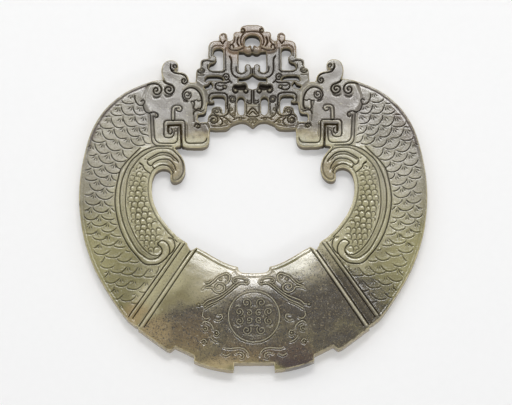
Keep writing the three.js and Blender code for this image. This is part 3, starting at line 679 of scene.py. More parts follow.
cut(curved((193.8, 100.6), (196.6, 99.6), (198, 100.8), (201, 99.8)), 0.34, 0.22)
cut(curved((193.2, 113.8), (194.4, 111), (197.6, 110.2), (201.2, 111.2), (203.4, 109.8)), 0.4, 0.3)
cut(curved((190.8, 102), (192.4, 106), (193.2, 113.4), (193.8, 121.4)), 0.3, 0.16, 0.5)
cut(straight((195.4, 123.6), (206.4, 123.6)), 0.4, 0.25, 0.7)
bead((198.6, 126.2), 0.5, 0.25, 0.5)

# The brow's hook above the jaw, and the square scroll of the jaw slit
cord(curved((172.8, 119.2), (172.8, 111.5), (173.4, 107.8), (175.4, 106.6), (179, 106.6), (180.4, 108.2),
            (179.4, 109.8), (177.6, 109.2)), 0.85, 0.2, 0.36, 0.3)
FRAME_LINE = [
    *straight((163.6, 134.6), (163.6, 124)),
    *curved((163.6, 123.2), (164.6, 121), (166.6, 120.2)),
    *straight((181, 120)),
    *curved((182.6, 120.2), (184.4, 121.4), (184.8, 123.4)),
    *straight((185, 137)),
    *curved((185.4, 140.6), (187, 142.6), (190, 143.2)),
    *straight((201, 142.9)),
    *curved((203.6, 142.5), (205.8, 140.6), (206.6, 138.4)),
]
cut(FRAME_LINE, 0.42, 0.34, 0.85)
raise_line([(x + 0.55, y - 0.55) for x, y in FRAME_LINE[2:12]], 0.8, 0.12)
cut(curved((163.6, 134), (164.6, 136.8), (167.4, 137.6), (171, 137.2), (173.4, 135.2), (173.9, 131.6)),
    0.42, 0.3, 0.8)
cut(curved((168.2, 130), (168.2, 133), (170.2, 134), (171.8, 132.4), (171.8, 129.4), (170.6, 128.2)),
    0.4, 0.34, 0.9)
bead((175.4, 129.6), 0.45, 0.2, 0.6)
cut(straight((186.8, 125), (187, 137)), 0.34, 0.14, 0.4)
cut(curved((194.4, 126.6), (195.2, 124.4), (198, 123.7), (199.5, 125.6), (198.3, 127.7), (196.1, 127.2)),
    0.36, 0.26, 0.7)
for spot in ((190.4, 131), (196, 130), (203.6, 125.6), (199.8, 134.6), (204.8, 131.4), (192.8, 137)):
    smudge(spot, 0.75, 0.7)

# The beard
cut([*straight((149.9, 114.4), (150.9, 134.8)), *curved((151.2, 138), (152.2, 142.2), (155.6, 145.3),
                                                        (160, 145.8)), *straight((171, 146))],
    0.44, 0.3, 0.75)
cut([*straight((152.9, 115.6), (154.2, 134.8)), *curved((154.4, 138), (155.6, 140.6), (158.4, 142.7),
                                                        (162, 143.2)), *straight((172.4, 143.3)),
     *curved((174.8, 142.8), (176.9, 140.6), (177.5, 137)), *straight((177.8, 127.6))], 0.42, 0.3, 0.8)
# The strip between the beard's lines is sunk and darkened as painted shade
sink(straight((150.4, 115), (151.4, 137), (154.4, 137), (153, 115.6)), 0.1, 0.16, 0.6)
cut(curved((148.8, 113.4), (151, 112.2), (154.2, 112), (157.2, 113.6), (157.6, 116.2), (155.6, 117.6),
           (154.2, 116)), 0.42, 0.3, 0.9)
bead((156, 115), 0.45, 0.25, 0.5)

# The wing's border: two bands between ground lines, which turn up at the foot into a rounded head
WING_OUTER_LINE = curved((140, 147.6), (136, 151.6), (133, 154.6), (130, 157.6), (125.4, 162.6), (120.3, 170),
                         (117.6, 180), (115.7, 190), (114.9, 200), (115.8, 210), (117.8, 220), (120.8, 230),
                         (125.4, 240), (131, 249), (138, 257), (142.7, 262.2), (147.5, 264.3), (153.8, 264.3),
                         (159.1, 263.3), (163.3, 260.6), (167.5, 256.4), (169.6, 252.7), (169.8, 249),
                         (168.5, 244.8), (165.9, 241.7), (163.3, 240.4), (160.6, 240.8), (158.2, 242.6))
WING_MIDDLE_LINE = curved((164, 146), (158, 146), (152, 146.8), (148, 148.3), (144, 150), (140, 152.6),
                          (136, 156.1), (133, 158.6), (130, 162.4), (125.9, 170), (122.1, 180),
                          (120.2, 190), (119.8, 200), (120.6, 210), (122.8, 220), (126.4, 230),
                          (131.2, 240), (138.4, 251.2), (142.8, 255), (147.8, 258.2), (151.7, 259),
                          (156, 258.2), (159.5, 256.2), (161.8, 253.2))
WING_HEAD_LINE = curved((161.6, 253.6), (162.3, 250.6), (161.7, 248.3), (160.1, 246.2), (158, 244.4),
                        (158.2, 242.6))
WING_INNER_LINE = curved((152, 150), (148, 152.3), (144, 154.8), (140, 157.9), (136, 162.4), (133, 166.2),
                         (130.6, 170), (127.4, 180), (126.2, 190), (125.5, 200), (126.1, 210), (128.2, 220),
                         (132.2, 230), (137.4, 240), (143.4, 248), (148.4, 252.6), (152, 254.8),
                         (155.4, 255.6), (159.1, 255.4), (161.2, 253.3))
WING_BRIGHT_LINE = curved((152, 148.4), (148, 150), (144, 152.9), (140, 155.8), (136, 159.6),
                          (132.8, 163.6), (129.2, 170), (125.7, 180), (124.3, 190), (123.8, 200),
                          (124.7, 210), (126.8, 220), (130.8, 230), (135.9, 240), (138, 243.8),
                          (142.2, 249), (147.5, 253.6), (151.2, 255.8), (155.2, 257), (159, 256))
swell(WING_OUTER_LINE + WING_HEAD_LINE[::-1] + WING_MIDDLE_LINE[::-1], 0.2, 1.1)
sink(WING_MIDDLE_LINE[3:] + WING_INNER_LINE[::-1], 0.1, 0.2, 0.16)
raise_line(WING_BRIGHT_LINE, 0.5, 0.2, 0.2)
cut(WING_OUTER_LINE[:-30], 0.46, 0.26, 0.85)
cut(WING_OUTER_LINE[-31:], 0.42, 0.3, 0.8)
cut(WING_MIDDLE_LINE, 0.42, 0.22, 0.8)
cut(WING_HEAD_LINE, 0.42, 0.3, 0.9)
cut(WING_INNER_LINE, 0.4, 0.2, 0.7)

# The small scales of the wing: where each arch starts, its top and where it ends, from the top row down
WING_SCALES = (
    ((131, 174.6), (133.4, 170.4), (136, 172)), ((136, 175), (139, 171.2), (142.4, 173.4)),
    ((142, 175.4), (145, 172.4), (148, 173.6)), ((129.6, 178), (131.8, 175), (134.4, 176.6)),
    ((134, 178.6), (137, 176), (140, 178)), ((140.4, 179), (143.6, 175.8), (147, 178.8)),
    ((128.6, 182.6), (130.8, 180), (133.2, 181.6)), ((133, 183.4), (135.8, 180.6), (138.6, 183)),
    ((139.4, 184), (142.6, 181), (146, 183)), ((127.6, 187.4), (129.4, 185.2), (131, 186.4)),
    ((130.4, 189), (133, 185), (136, 187.6)), ((136.4, 189), (139.6, 185.2), (142.6, 188)),
    ((142.6, 189.6), (145, 186.6), (147.4, 187.4)), ((128.8, 193.6), (131.8, 190.8), (134.6, 193)),
    ((134.8, 194), (138, 190.2), (140.9, 193.4)), ((141.2, 194), (143.8, 191), (146.8, 192.6)),
    ((127.6, 199.4), (131, 195.8), (133.8, 198)), ((133.8, 199.4), (136.8, 195.6), (139.7, 198.8)),
    ((140, 199.6), (142.8, 195.6), (146, 198.4)), ((145, 199.4), (147.2, 196), (149, 197.4)),
    ((127.8, 204), (130.6, 201), (132.6, 202.6)), ((131.6, 205.8), (134.8, 200.8), (137.6, 203.4)),
    ((137.4, 205.2), (141, 200.5), (144.6, 203.6)), ((144.6, 205), (147.2, 200.4), (149.8, 202.6)),
    ((130.2, 210.6), (133, 206.4), (136, 208.8)), ((136.2, 211.2), (138.6, 206.7), (141.1, 210)),
    ((141.8, 210.8), (145.2, 205.9), (148.6, 208.6)), ((148.4, 209.6), (150.2, 207), (151.6, 208.4)),
    ((131, 216), (133, 212.6), (135.4, 214)), ((135.4, 217.4), (138.6, 212), (141.7, 216.4)),
    ((141.6, 216), (144.8, 211.3), (148, 214.4)), ((147.8, 215.4), (150.6, 210.6), (153.4, 213.6)),
    ((131.6, 221.4), (133.4, 218.6), (135.2, 220)), ((135.1, 222.6), (138, 219), (140.6, 221.6)),
    ((140.4, 222.8), (143.2, 217.3), (146.3, 220.8)), ((146.2, 221.4), (149.6, 216.3), (153, 219.6)),
    ((153, 221), (155, 218.6), (156.8, 219.6)), ((135, 228), (138, 224.4), (140.8, 226.6)),
    ((140.8, 228.2), (143.6, 223.9), (146.7, 226.6)), ((147, 226.2), (149.4, 222.4), (151.6, 224.6)),
    ((151.4, 225.6), (154.8, 221.1), (158.2, 224)), ((135.6, 233), (137.8, 230), (139.8, 231.6)),
    ((139.4, 232.6), (142, 228.9), (145.2, 231.4)), ((145.4, 232), (147.8, 228), (150.8, 231)),
    ((151, 232.4), (153, 228.5), (155.4, 231.2)), ((156, 232), (159, 227.3), (162, 230.8)),
    ((139.2, 237.8), (142, 234.3), (144.8, 236.8)), ((145, 238), (147.4, 234.2), (150.2, 237)),
    ((150.4, 238), (152.8, 234.2), (155.4, 236.8)), ((155.5, 238.8), (158.6, 234.4), (162.2, 236.4)),
    ((139, 243), (141.4, 240.2), (144, 242)), ((144.2, 243.4), (146.8, 239.8), (149.4, 242.4)),
    ((149.2, 244), (151.8, 240.3), (154.6, 243)), ((154.4, 243.6), (156.6, 239.8), (159, 240.4)),
    ((144, 248), (146.2, 245.2), (148.2, 247)), ((148.2, 249.4), (151, 246.9), (153.6, 249)),
    ((153.5, 250.4), (157, 246.4), (160.6, 250)), ((147.6, 253), (150, 250.6), (152.4, 252.4)),
)
scales_h = np.zeros((ROWS, HALF))
scales_d = np.zeros((ROWS, HALF))
for start, top, end in WING_SCALES:
    (ax, ay), (tx, ty), (bx, by) = to_face(start), to_face(top), to_face(end)
    half = math.hypot(bx - ax, by - ay) / 2
    turn = math.atan2(by - ay, bx - ax)
    long = max(0.5, (ty - (ay + by) / 2) * math.cos(turn) - (tx - (ax + bx) / 2) * math.sin(turn))
    arch((ax + bx) / 2, (ay + by) / 2, half, long, turn, 0.22, 0.14, 0.85)
WING_FIELD = [
    *curved((139.5, 162.6), (134, 168.6), (130.6, 176), (128.2, 185), (127, 195), (127.2, 206), (129, 216),
            (132.4, 226), (137, 236), (143, 245.4), (149, 251.6), (154, 254)),
    *curved((158, 254), (160.8, 250.6), (159.6, 247.4), (157.6, 244.6), (158.6, 241.4), (162, 237.4),
            (164.6, 233), (165.4, 229.4)),
    *curved((159.6, 222.4), (154, 214.2), (150, 206), (148, 196), (147.6, 186), (148.6, 178),
            (150.1, 173.2), (146.6, 170.8), (143.6, 167.9), (142.5, 164.9)),
]
mask = blurred(inside([WING_FIELD], HALF).astype(float), 0.2)
height -= 0.2 * mask
height += scales_h * mask
dirt = np.maximum(dirt, np.maximum(scales_d, 0.04) * mask)
cut(curved((139.5, 162.6), (142.5, 164.9), (143.6, 167.9), (146.6, 170.8), (150.1, 173.2)), 0.42, 0.26, 0.85)
for tail in (((138.4, 168.6), (140.2, 167), (141.6, 166.6)), ((136.4, 170.4), (136.4, 168.6), (136.8, 167)),
             ((132.8, 168.4), (133.6, 166.6)), ((141.8, 170.2), (142.4, 169.2), (142.4, 168.6))):
    cut(curved(*tail), 0.44, 0.16, 0.7, 0.3)

# The rim of the hollow, raised and painted lighter as a highlight
box, dist, _ = near(HOOK_HOLLOW_EDGE, 2.6)
wing = label[:, :HALF] == names.index("left_wing")
line = np.where(wing[box], np.exp(-((dist - 1.4) / 0.2) ** 2), 0)
rim = np.where(wing[box], smooth(1.3, 0.95, dist), 0)
height[box] += 0.06 * rim - 0.24 * line
lift[box] = np.maximum(lift[box], 0.7 * rim)
dirt[box] = np.maximum(dirt[box], 0.75 * line)

# The hook's lines and the curl at its root
box, dist, _ = near(HOOK_EDGE, 2)
line = np.where(wing[box] & (X[box] > to_face((152, 200))[0]), np.exp(-((dist - 0.8) / 0.17) ** 2), 0)
height[box] -= 0.2 * line
dirt[box] = np.maximum(dirt[box], 0.75 * line)
cut(curved((150.5, 150.6), (153.6, 149.4), (158.4, 148.2), (165.4, 148.2), (170.7, 149.1), (174.2, 151.4),
           (178.4, 155.5), (181.3, 159.1), (183, 163), (183.4, 167.6)), 0.4, 0.2, 0.7, 0.06)
HOOK_THIRD_LINE = curved((147.2, 159.6), (150.1, 157.6), (153.6, 155.5), (156.6, 153.8), (159.5, 152.6),
                         (163.6, 152.3), (167.8, 152.9), (171.3, 154.6), (174.2, 157.3), (177.2, 160.2),
                         (178.1, 162))
HOOK_FOURTH_LINE = curved((148.6, 160.2), (153.6, 157.6), (156.6, 156.1), (160.7, 154.9), (164.8, 154.9),
                          (168.9, 155.8), (171.3, 157.3), (174, 160.4))
sink(HOOK_THIRD_LINE + HOOK_FOURTH_LINE[::-1], 0.12, 0.17, 0.3)
cut(HOOK_THIRD_LINE, 0.44, 0.24, 0.9)
cut(HOOK_FOURTH_LINE, 0.38, 0.18, 0.75)
cut(curved((147.2, 159.6), (147.2, 162.6), (148.6, 164.6), (150.7, 165.5), (152.2, 164.6), (153.6, 162.6),
           (156, 161.1), (159.5, 159.6), (163.1, 159.1), (166.6, 159.1), (169.5, 160.2), (171.9, 162.3),
           (174.2, 165.5), (175.4, 168.5), (176, 170.8)), 0.44, 0.26, 0.85, 0.05)
cut(curved((151.9, 165.5), (153.6, 167.9), (155.4, 168.8)), 0.42, 0.28, 0.95, 0.2)
cut(curved((157.6, 165.9), (160.5, 164.7), (164.4, 164.6), (168, 166), (171.2, 169), (173.4, 173)),
    0.42, 0.24, 0.7, 0.1)
sink(curved((153.6, 166), (156, 162.6), (160.5, 160.8), (166, 160.6), (170, 163), (173.4, 167.4),
            (174.6, 172), (171.2, 168.6), (166.6, 164.8), (160.5, 164)), 0.2, 0.3, 0.1)
raise_line(curved((157.2, 168.3), (159.5, 166.7), (162.5, 166.1), (166.6, 167), (169.5, 169.1), (171.3, 172),
                  (173.1, 174.9)), 0.5, 0.14, 0.2)
for tail in (((144.5, 158.2), (145.7, 159.7)), ((138.8, 162), (140.4, 163.8), (142.3, 164.9)),
             ((147, 162.4), (148, 163.6))):
    cut(curved(*tail), 0.42, 0.24, 0.85, 0.3)

# The wing's foot: the lobe beyond the rounded head
cut(curved((168.4, 237.6), (171, 238), (173.3, 239.3), (174.6, 242.7), (175.1, 246.4), (173.8, 249.6),
           (171.7, 252.2), (169.1, 254.5)), 0.42, 0.28, 0.85)
swell(curved((168.6, 238.6), (172, 240.4), (174, 244), (174, 248), (171.4, 251.8), (170.6, 248), (168.8, 243),
             (166.4, 240.6)), 0.14, 0.8)
cut(curved((174.3, 238.5), (177.5, 242.2)), 0.38, 0.24, 0.8, 0.2)
cut(curved((171, 235), (174.3, 238.5)), 0.38, 0.24, 0.6, 0.3)

# The slanting band: a thin ridge between grooves, a flat, a slope and the double line beside the panel
cut(straight((180.4, 243), (129, 316)), 0.5, 0.34, 0.8)
raise_line(straight((182.1, 243), (131, 316)), 0.55, 0.22, 0.16)
cut(straight((184.4, 244), (133.2, 318)), 0.46, 0.3, 0.75)
sink(straight((184.6, 244), (191.6, 248.6), (139, 326), (133.4, 319)), 0.14, 0.2)
SLOPE_TOP, SLOPE_FOOT = straight((186.2, 246), (135.4, 321.4)), straight((191.2, 248.4), (138.6, 325.6))
slope = inside([SLOPE_TOP + SLOPE_FOOT[::-1]], HALF)
box, dist, _ = near(SLOPE_TOP, 2.4)
height[box] -= np.where(slope[box], 0.16 * dist, 0)
cut(straight((192, 248.4), (139.3, 326)), 0.5, 0.4, 1.0)
raise_line(straight((194.2, 248.8), (141.8, 326.4)), 0.9, 0.14, 0.3)
cut(straight((196.7, 249), (144.7, 327)), 0.42, 0.3, 0.85)

# The panel: a fine line inside its head edge, and its gently crowned face
box, dist, _ = near(PANEL_HEAD_EDGE, 2.6)
panel = label[:, :HALF] == names.index("base_panel")
line = np.where(panel[box], np.exp(-((dist - 1.5) / 0.2) ** 2), 0)
height[box] -= 0.12 * line
dirt[box] = np.maximum(dirt[box], 0.3 * line)
HEAD_SLOPE, HEAD_ROUND = 0.12, 13.5
box, dist, _ = near(PANEL_HEAD_EDGE, 14)
height[box] -= np.where(panel[box], HEAD_SLOPE / 27 * np.clip(HEAD_ROUND - dist, 0, None) ** 2, 0)

# The lizards beside the roundel, their raised lines painted lighter as highlights
LIZARD = [
    (0.5, ((246.6, 279.6), (243, 278.2), (238.6, 277.6), (235.2, 278.2), (233, 280.4), (234.4, 283),
           (237.6, 283))),
    (0.5, ((246.6, 279.6), (248.4, 281.6), (246.6, 284.2), (243, 283.4), (239.6, 283.8), (235, 287),
           (229.6, 291.6), (223, 296.8), (216.4, 301), (209.6, 303.8), (204.6, 307))),
    (0.5, ((238, 281.4), (233.6, 285.4), (228.4, 290.2), (221, 295.4), (213.6, 298.6), (207, 301.4),
           (203.4, 304.6), (198.6, 305))),
    (0.5, ((202.2, 289.8), (205.8, 286.4), (210.8, 284.2), (214.6, 281), (217.6, 277.6), (222, 275.4),
           (226.8, 273.8), (229.8, 276.4), (229, 280.8), (225.4, 284.6))),
    (0.5, ((202.4, 289.8), (206.4, 288), (212.4, 288), (214.4, 291.2), (218.9, 293), (223.8, 291),
           (224.8, 287.2), (221.6, 284.2), (217.6, 284.2), (215.8, 287.2), (218.2, 289.4), (220.4, 287.6))),
    (0.45, ((204.8, 282.4), (208.6, 283), (211.6, 280.6))),
    (0.45, ((203.6, 310.4), (207.4, 307.6), (213, 304.4), (218.6, 302.2))),
    (0.45, ((203.4, 312), (202.8, 316), (205.8, 319), (209.8, 318))),
    (0.45, ((217.6, 315.4), (221.4, 314.8), (222.6, 317.6), (219.2, 320.6), (215.2, 320.2))),
    (0.5, ((202.3, 324), (205, 321.6), (209, 322.8), (212.2, 325.8), (213.6, 330))),
    (0.45, ((205, 326), (207.6, 327.2), (207.4, 330.2), (204.4, 330.8), (203.2, 328.4))),
    (0.45, ((214.6, 331), (217.8, 330.8), (219.2, 333.6), (216.8, 335.8), (214.4, 334.4))),
    (0.45, ((201.4, 340.8), (204.8, 339.4), (206.6, 341.8), (204.2, 343.8))),
    (0.45, ((210.4, 336.4), (213.2, 339.8), (218, 342.2))),
    (0.5, ((224, 347.6), (229, 348.4), (235, 348), (240, 347.8), (245, 349.4), (247.6, 352.4),
           (248.4, 355.4))),
    (0.45, ((235.6, 353.6), (239.2, 352.2), (243, 353.6), (244, 357), (241.2, 358.4), (239.4, 356.4))),
    (0.45, ((221.6, 353.6), (226, 355.4), (230, 353.6))),
]
for wide, path in LIZARD:
    p = curved(*path)
    box, dist, along = near(p, 1.2)
    ends = np.clip(np.minimum(along, 1 - along) / 0.12, 0.35, 1)
    ridge = smooth(wide / 2 + 0.08, wide / 2 - 0.2, dist) * ends
    ring = np.exp(-((dist - wide / 2 - 0.16) / 0.15) ** 2) * (dist < 1.19) * ends
    height[box] += 0.3 * ridge - 0.12 * ring
    upper = smooth(to_face((210, 312))[1], to_face((210, 300))[1], p[0][1])
    dirt[box] = np.maximum(dirt[box], (0.5 + 0.4 * upper) * ring)
    lift[box] = np.maximum(lift[box], 2.0 * ridge)
for spot in ((220.8, 279.6), (226.4, 277.2), (246.2, 281.6), (235, 280.6), (198.8, 305.2), (216.8, 333.2),
             (205.4, 328.8), (204, 341.8)):
    bead(spot, 0.5, 0.3, 0.5)

# The roundel: a low disc with a raised ring, painted lighter as a highlight, and generic cloud whorls
ROUNDEL_CENTRE_PX = (253.4, 316.6)
ROUNDEL_RADII_PX = (26.2, 26.8)
WHORL_SCALE = 1.2
WHORL_STEPS = 26
centre = (0.0, to_face(ROUNDEL_CENTRE_PX)[1])
rx, ry = (radius * MM_PER_PX for radius in ROUNDEL_RADII_PX)
box = window((centre[0] - rx - 2, centre[1] - ry - 2), (centre[0] + rx + 2, centre[1] + ry + 2), HALF)
r = np.hypot((X[box] - centre[0]) / rx, (Y[box] - centre[1]) / ry)
gap_in = (1 - r) * (rx + ry) / 2
height[box] += 0.1 * smooth(-0.1, 0.3, gap_in)
ring = np.exp(-((gap_in - 0.3) / 0.18) ** 2)
height[box] += 0.3 * ring
lift[box] = np.maximum(lift[box], 2.0 * ring)
for offset, dark in ((-0.15, 0.22), (0.75, 0.35)):
    line = np.exp(-((gap_in - offset) / 0.16) ** 2)
    height[box] -= 0.12 * line
    dirt[box] = np.maximum(dirt[box], dark * line)


def whorl(cx, cy, radius, start, turns, hand):
    """A cloud whorl, wound in from its outer end."""
    out = []
    for k in range(WHORL_STEPS + 1):
        t = k / WHORL_STEPS
        a = start + hand * turns * 2 * math.pi * t
        q = radius * (1 - 0.82 * t)
        out.append((centre[0] + WHORL_SCALE * (cx + q * math.cos(a)),
                    centre[1] + WHORL_SCALE * (cy + q * math.sin(a))))
    return out


# Whorls of the roundel's upper half: centre, radius, first angle, turns, hand. The lower half mirrors them
WHORLS = ((-2.3, 4.4, 1.5, -0.6, 1.4, 1), (-4.6, 1.5, 1.35, -1.2, 1.4, 1), (-1.5, 1.1, 1.1, 2.2, 1.3, -1))
for cx, cy, radius, start, turns, hand in WHORLS:
    for sign in (1, -1):
        p = whorl(cx, sign * cy, radius, sign * start, turns, sign * hand)
        raise_line(p, 0.3, 0.34, 0.13)
        box, dist, _ = near(p, 0.8)
        ring = np.exp(-((dist - 0.46) / 0.16) ** 2) * (dist < 0.79)
        dirt[box] = np.maximum(dirt[box], 0.75 * ring)
CLOUD_STROKES = (((-0.4, 6.4), (-1.6, 6.1), (-3.4, 5.9)), ((-6, 3), (-5.2, 3.6), (-4.2, 3.3)),
                 ((-0.3, 3.2), (-0.9, 2.9), (-1.4, 3.3)))
MIDDLE_STROKE = ((-3.3, 0.6), (-2.9, 0), (-3.3, -0.6))
mirrored_strokes = [[(x, sign * y) for x, y in stroke] for stroke in CLOUD_STROKES for sign in (1, -1)]
for p in mirrored_strokes + [MIDDLE_STROKE]:
    raise_line([(centre[0] + WHORL_SCALE * x, centre[1] + WHORL_SCALE * y) for x, y in p],
               0.36, 0.28, 0.14, 0.2)

# The crest's mask
cut(curved((240.4, 29.6), (241.6, 31.4), (243.8, 31.2), (244.6, 29.4), (243.2, 27.8), (241.6, 28.4)),
    0.36, 0.3, 0.8)
bead((242.6, 29.6), 0.5, 0.25, 0.5)
cut(curved((253, 30.6), (248.6, 30.8), (245.2, 31.4), (242.6, 34), (240.8, 37.6), (240.6, 41),
           (241.8, 44.6)), 0.4, 0.26, 0.7)
cut(curved((245.4, 36.4), (243.6, 39.4), (243.4, 43), (244.4, 46)), 0.34, 0.2, 0.5)
cut(curved((238.2, 36.6), (237.2, 39.4), (237.2, 42.4), (238.8, 45)), 0.44, 0.4, 1)
cut(curved((234.8, 36.4), (234.2, 40.6), (232.4, 43.2), (229.6, 44.2)), 0.36, 0.22, 0.6)
cut(curved((228.6, 47), (230.4, 48.9), (233.6, 49.6), (238.4, 49.4), (243, 47.4)), 0.4, 0.3, 0.85)
cut(curved((233.2, 47.4), (233.4, 45.2), (231.6, 44), (229.8, 45.2), (230.2, 47.2)), 0.36, 0.28, 0.85)
raise_line(curved((234, 47.6), (238.6, 47.2), (242.4, 45.6)), 0.5, 0.16)
NOSE_X, NOSE_Y = to_face((247.6, 48.8))
box = window((NOSE_X - 3, NOSE_Y - 2), (NOSE_X + 3, NOSE_Y + 2), HALF)
r = np.hypot((X[box] - NOSE_X) / 1.7, (Y[box] - NOSE_Y) / 1.25)
height[box] += 0.35 * np.sqrt(np.clip(1 - r ** 2, 0, 1))
cut(curved((251.6, 45), (251.4, 48), (252.2, 51.4)), 0.34, 0.3, 0.8)
cut(straight((219.8, 39.6), (222.6, 42.6), (225, 39.6)), 0.4, 0.3, 0.9)
cut(curved((221, 34), (223.4, 33), (225.4, 34.6), (225, 37)), 0.34, 0.16, 0.4)

# The crest's lattice
cut(curved((229.2, 55.4), (230.6, 57.2), (231.2, 60.4), (231.2, 68.6), (232.4, 73), (235.4, 76),
           (238.4, 77)), 0.42, 0.32, 0.9)
cut(curved((236, 66), (236.2, 69.4), (237.6, 71.8), (240.6, 72.9), (244, 72.2), (246.6, 69.8)),
    0.36, 0.26, 0.8)
cut(straight((252.4, 64.6), (252.4, 74)), 0.42, 0.4, 0.95)
cut(curved((250.4, 66.6), (250.8, 70), (250.2, 73.6)), 0.32, 0.22, 0.6)
cut([*curved((207.4, 64.6), (207.8, 67.4), (209.4, 69.8), (212.4, 71.2)), *straight((216, 71.3),
                                                                                    (223.2, 71.1),
                                                                                    (225.4, 69.2))],
    0.4, 0.3, 0.9)
cut(straight((225.4, 68.4), (225.2, 47)), 0.34, 0.16, 0.5)
cut(curved((211.4, 55.2), (211.2, 50), (211.8, 47), (213.8, 45.2), (217.6, 44.6), (223, 45.2)),
    0.34, 0.18, 0.45)
cut(curved((201.8, 64.4), (202, 61.6), (204, 60), (208, 59.8), (211.4, 60.8), (213.8, 60.6)), 0.4, 0.28, 0.85)
cut(curved((197.4, 70), (198.6, 71.6), (201.2, 72.2), (203.4, 71.2), (204.2, 69)), 0.4, 0.28, 0.85)
bead((201.4, 69), 0.5, 0.25, 0.7)
bead((197.6, 69.4), 0.35, 0.2, 0.6)
SMALL_SPIRAL = curved((222.6, 76), (223.8, 73.9), (226, 73.1), (228.3, 74.4), (228.8, 77), (227, 79),
                      (224.8, 78.6), (224.2, 76.6), (225.6, 75.6), (226.8, 76.6))
cut(SMALL_SPIRAL, 0.36, 0.32, 0.9)
cut(curved((228.4, 78.6), (230, 80.6), (231.4, 82)), 0.4, 0.3, 0.9)
cut(straight((197.4, 74.4), (203.8, 74.4)), 0.34, 0.16, 0.4)
cut(curved((229, 81), (226.4, 82.2), (222, 82), (217.6, 82.2), (215.4, 83.9), (215.2, 86.8), (217.4, 89),
           (221.4, 89.2), (224, 87.8)), 0.42, 0.34, 0.95)
bead((224.6, 86.4), 0.55, 0.3, 0.9)
cut(curved((217.4, 84.8), (220.4, 85.4), (223, 84.6)), 0.34, 0.24, 0.7)
cut([*curved((208.4, 97.6), (209, 94.8), (211, 93), (213.8, 92.4)), *straight((217, 92.2), (221.8, 92.3)),
     *curved((224.6, 92.8), (226.8, 94.4), (227.4, 97.4)), *straight((227.2, 108))], 0.42, 0.34, 0.95)
cut(curved((209.2, 97.6), (208.6, 100), (209.8, 102.6), (212.6, 103), (215.6, 101.6)), 0.38, 0.28, 0.85)
# A deep pit under the peak, darkened as painted shade
sink(curved((233.2, 86.4), (234.4, 84.6), (238, 84.9), (242, 84.3), (245.2, 84.1), (246.2, 86.2), (245, 88.3),
            (241, 88.9), (236.6, 88.6)), 1.5, 0.16, 0.9)
cut(curved((232.8, 86.4), (232.4, 89.6), (234, 92), (236.6, 92.2), (238, 90.4)), 0.4, 0.3, 0.9)
bead((235.4, 89.8), 0.62, 0.35, 0.9)
cut(curved((243.6, 88.6), (243.6, 91), (245.4, 92.6), (247.6, 91.6), (248.2, 89.4)), 0.38, 0.28, 0.85)
bead((245.8, 90.2), 0.55, 0.35, 0.9)
cut(curved((242.8, 82.6), (245.4, 82.6), (247, 84.6), (247.6, 88)), 0.36, 0.24, 0.7)
cut(straight((251.5, 89.4), (251.5, 101.6)), 0.4, 0.38, 1)
cut(curved((246.6, 101.2), (248.4, 102.6), (251.4, 102.6)), 0.4, 0.32, 0.95)
cut(curved((246.8, 99.4), (248.4, 100.6), (250.2, 100)), 0.34, 0.24, 0.7)

# The crest's foot
cut(curved((229, 98), (229.4, 96.2), (232, 95.4), (234.8, 96.6), (235.4, 99.4), (233.6, 101.6),
           (230.8, 101.2), (230, 99.2)), 0.38, 0.3, 0.9)
bead((232.4, 98.8), 0.55, 0.3, 0.7)
cut(straight((235.4, 101), (235.2, 112)), 0.36, 0.22, 0.7)
cut(straight((246.2, 103.6), (246.2, 112.6)), 0.36, 0.22, 0.7)
raise_line(straight((247.4, 105), (253, 105)), 0.5, 0.2)
cut(straight((247, 113.4), (250, 109.4), (253, 107)), 0.42, 0.3, 0.9)
cut(straight((249, 114.2), (253, 110.4)), 0.4, 0.26, 0.8)
cut(curved((246.4, 115), (249.6, 116.4), (253, 116.2)), 0.4, 0.3, 0.7)
cut(curved((247.6, 119.8), (250, 118.4), (253, 118.8)), 0.36, 0.24, 0.6)
bead((251, 121.4), 0.5, 0.3, 0.4)
cut(curved((212, 112.4), (212.4, 109), (214.4, 107.7), (217.4, 107.4), (219.8, 108.8), (220.6, 111.4)),
    0.36, 0.24, 0.8)
bead((216.6, 110.6), 0.55, 0.3, 0.8)
cut(curved((213.8, 110.4), (214, 113), (216.8, 115), (221, 115.8), (225.2, 115), (228, 112.4),
           (228.4, 109)), 0.4, 0.3, 0.85)
cut(curved((209.4, 116.6), (212, 114.6), (215.8, 115.6), (217.8, 118.6), (216.6, 121.8), (213.2, 122.8),
           (210.6, 121), (211.2, 118.4), (213.4, 117.8)), 0.4, 0.34, 0.85)
bead((213.6, 119.8), 0.6, 0.3, 0.6)
cut(curved((219.4, 117.4), (222, 119.6), (222.4, 122.8), (219.8, 124.8)), 0.4, 0.3, 0.7)
cut(curved((223.4, 116.8), (226.6, 118.2), (229.4, 121), (231.6, 122.2)), 0.38, 0.26, 0.65)
cut(curved((229.4, 104), (229, 110), (230.6, 114.6), (234.6, 117.2)), 0.38, 0.24, 0.65)
cut(curved((233.4, 119.4), (236.6, 117.6), (240.4, 117.2), (244.4, 118)), 0.38, 0.26, 0.6)
cut(curved((211.6, 125.4), (217, 125.9), (223, 125.6), (228, 124.2)), 0.4, 0.22, 0.5)
for spot in ((222, 118), (232, 120), (243, 115.2), (214, 125), (240, 109), (226, 107)):
    smudge(spot, 0.8, 0.65)
for spot in ((222, 111.6), (226.4, 104), (230.6, 109), (240.4, 118.6), (226, 121.6), (233.6, 114)):
    bead(spot, 0.42, 0.22, 0.5)


# The finished face: waves left by hand polishing, rounded edges, and the right half as the left's mirror
on_head = np.isin(label[:, :HALF], [names.index("left_dragon_head"), names.index("left_horn")]).astype(float)
calm = 1 - 0.55 * blurred(on_head, 2.0)
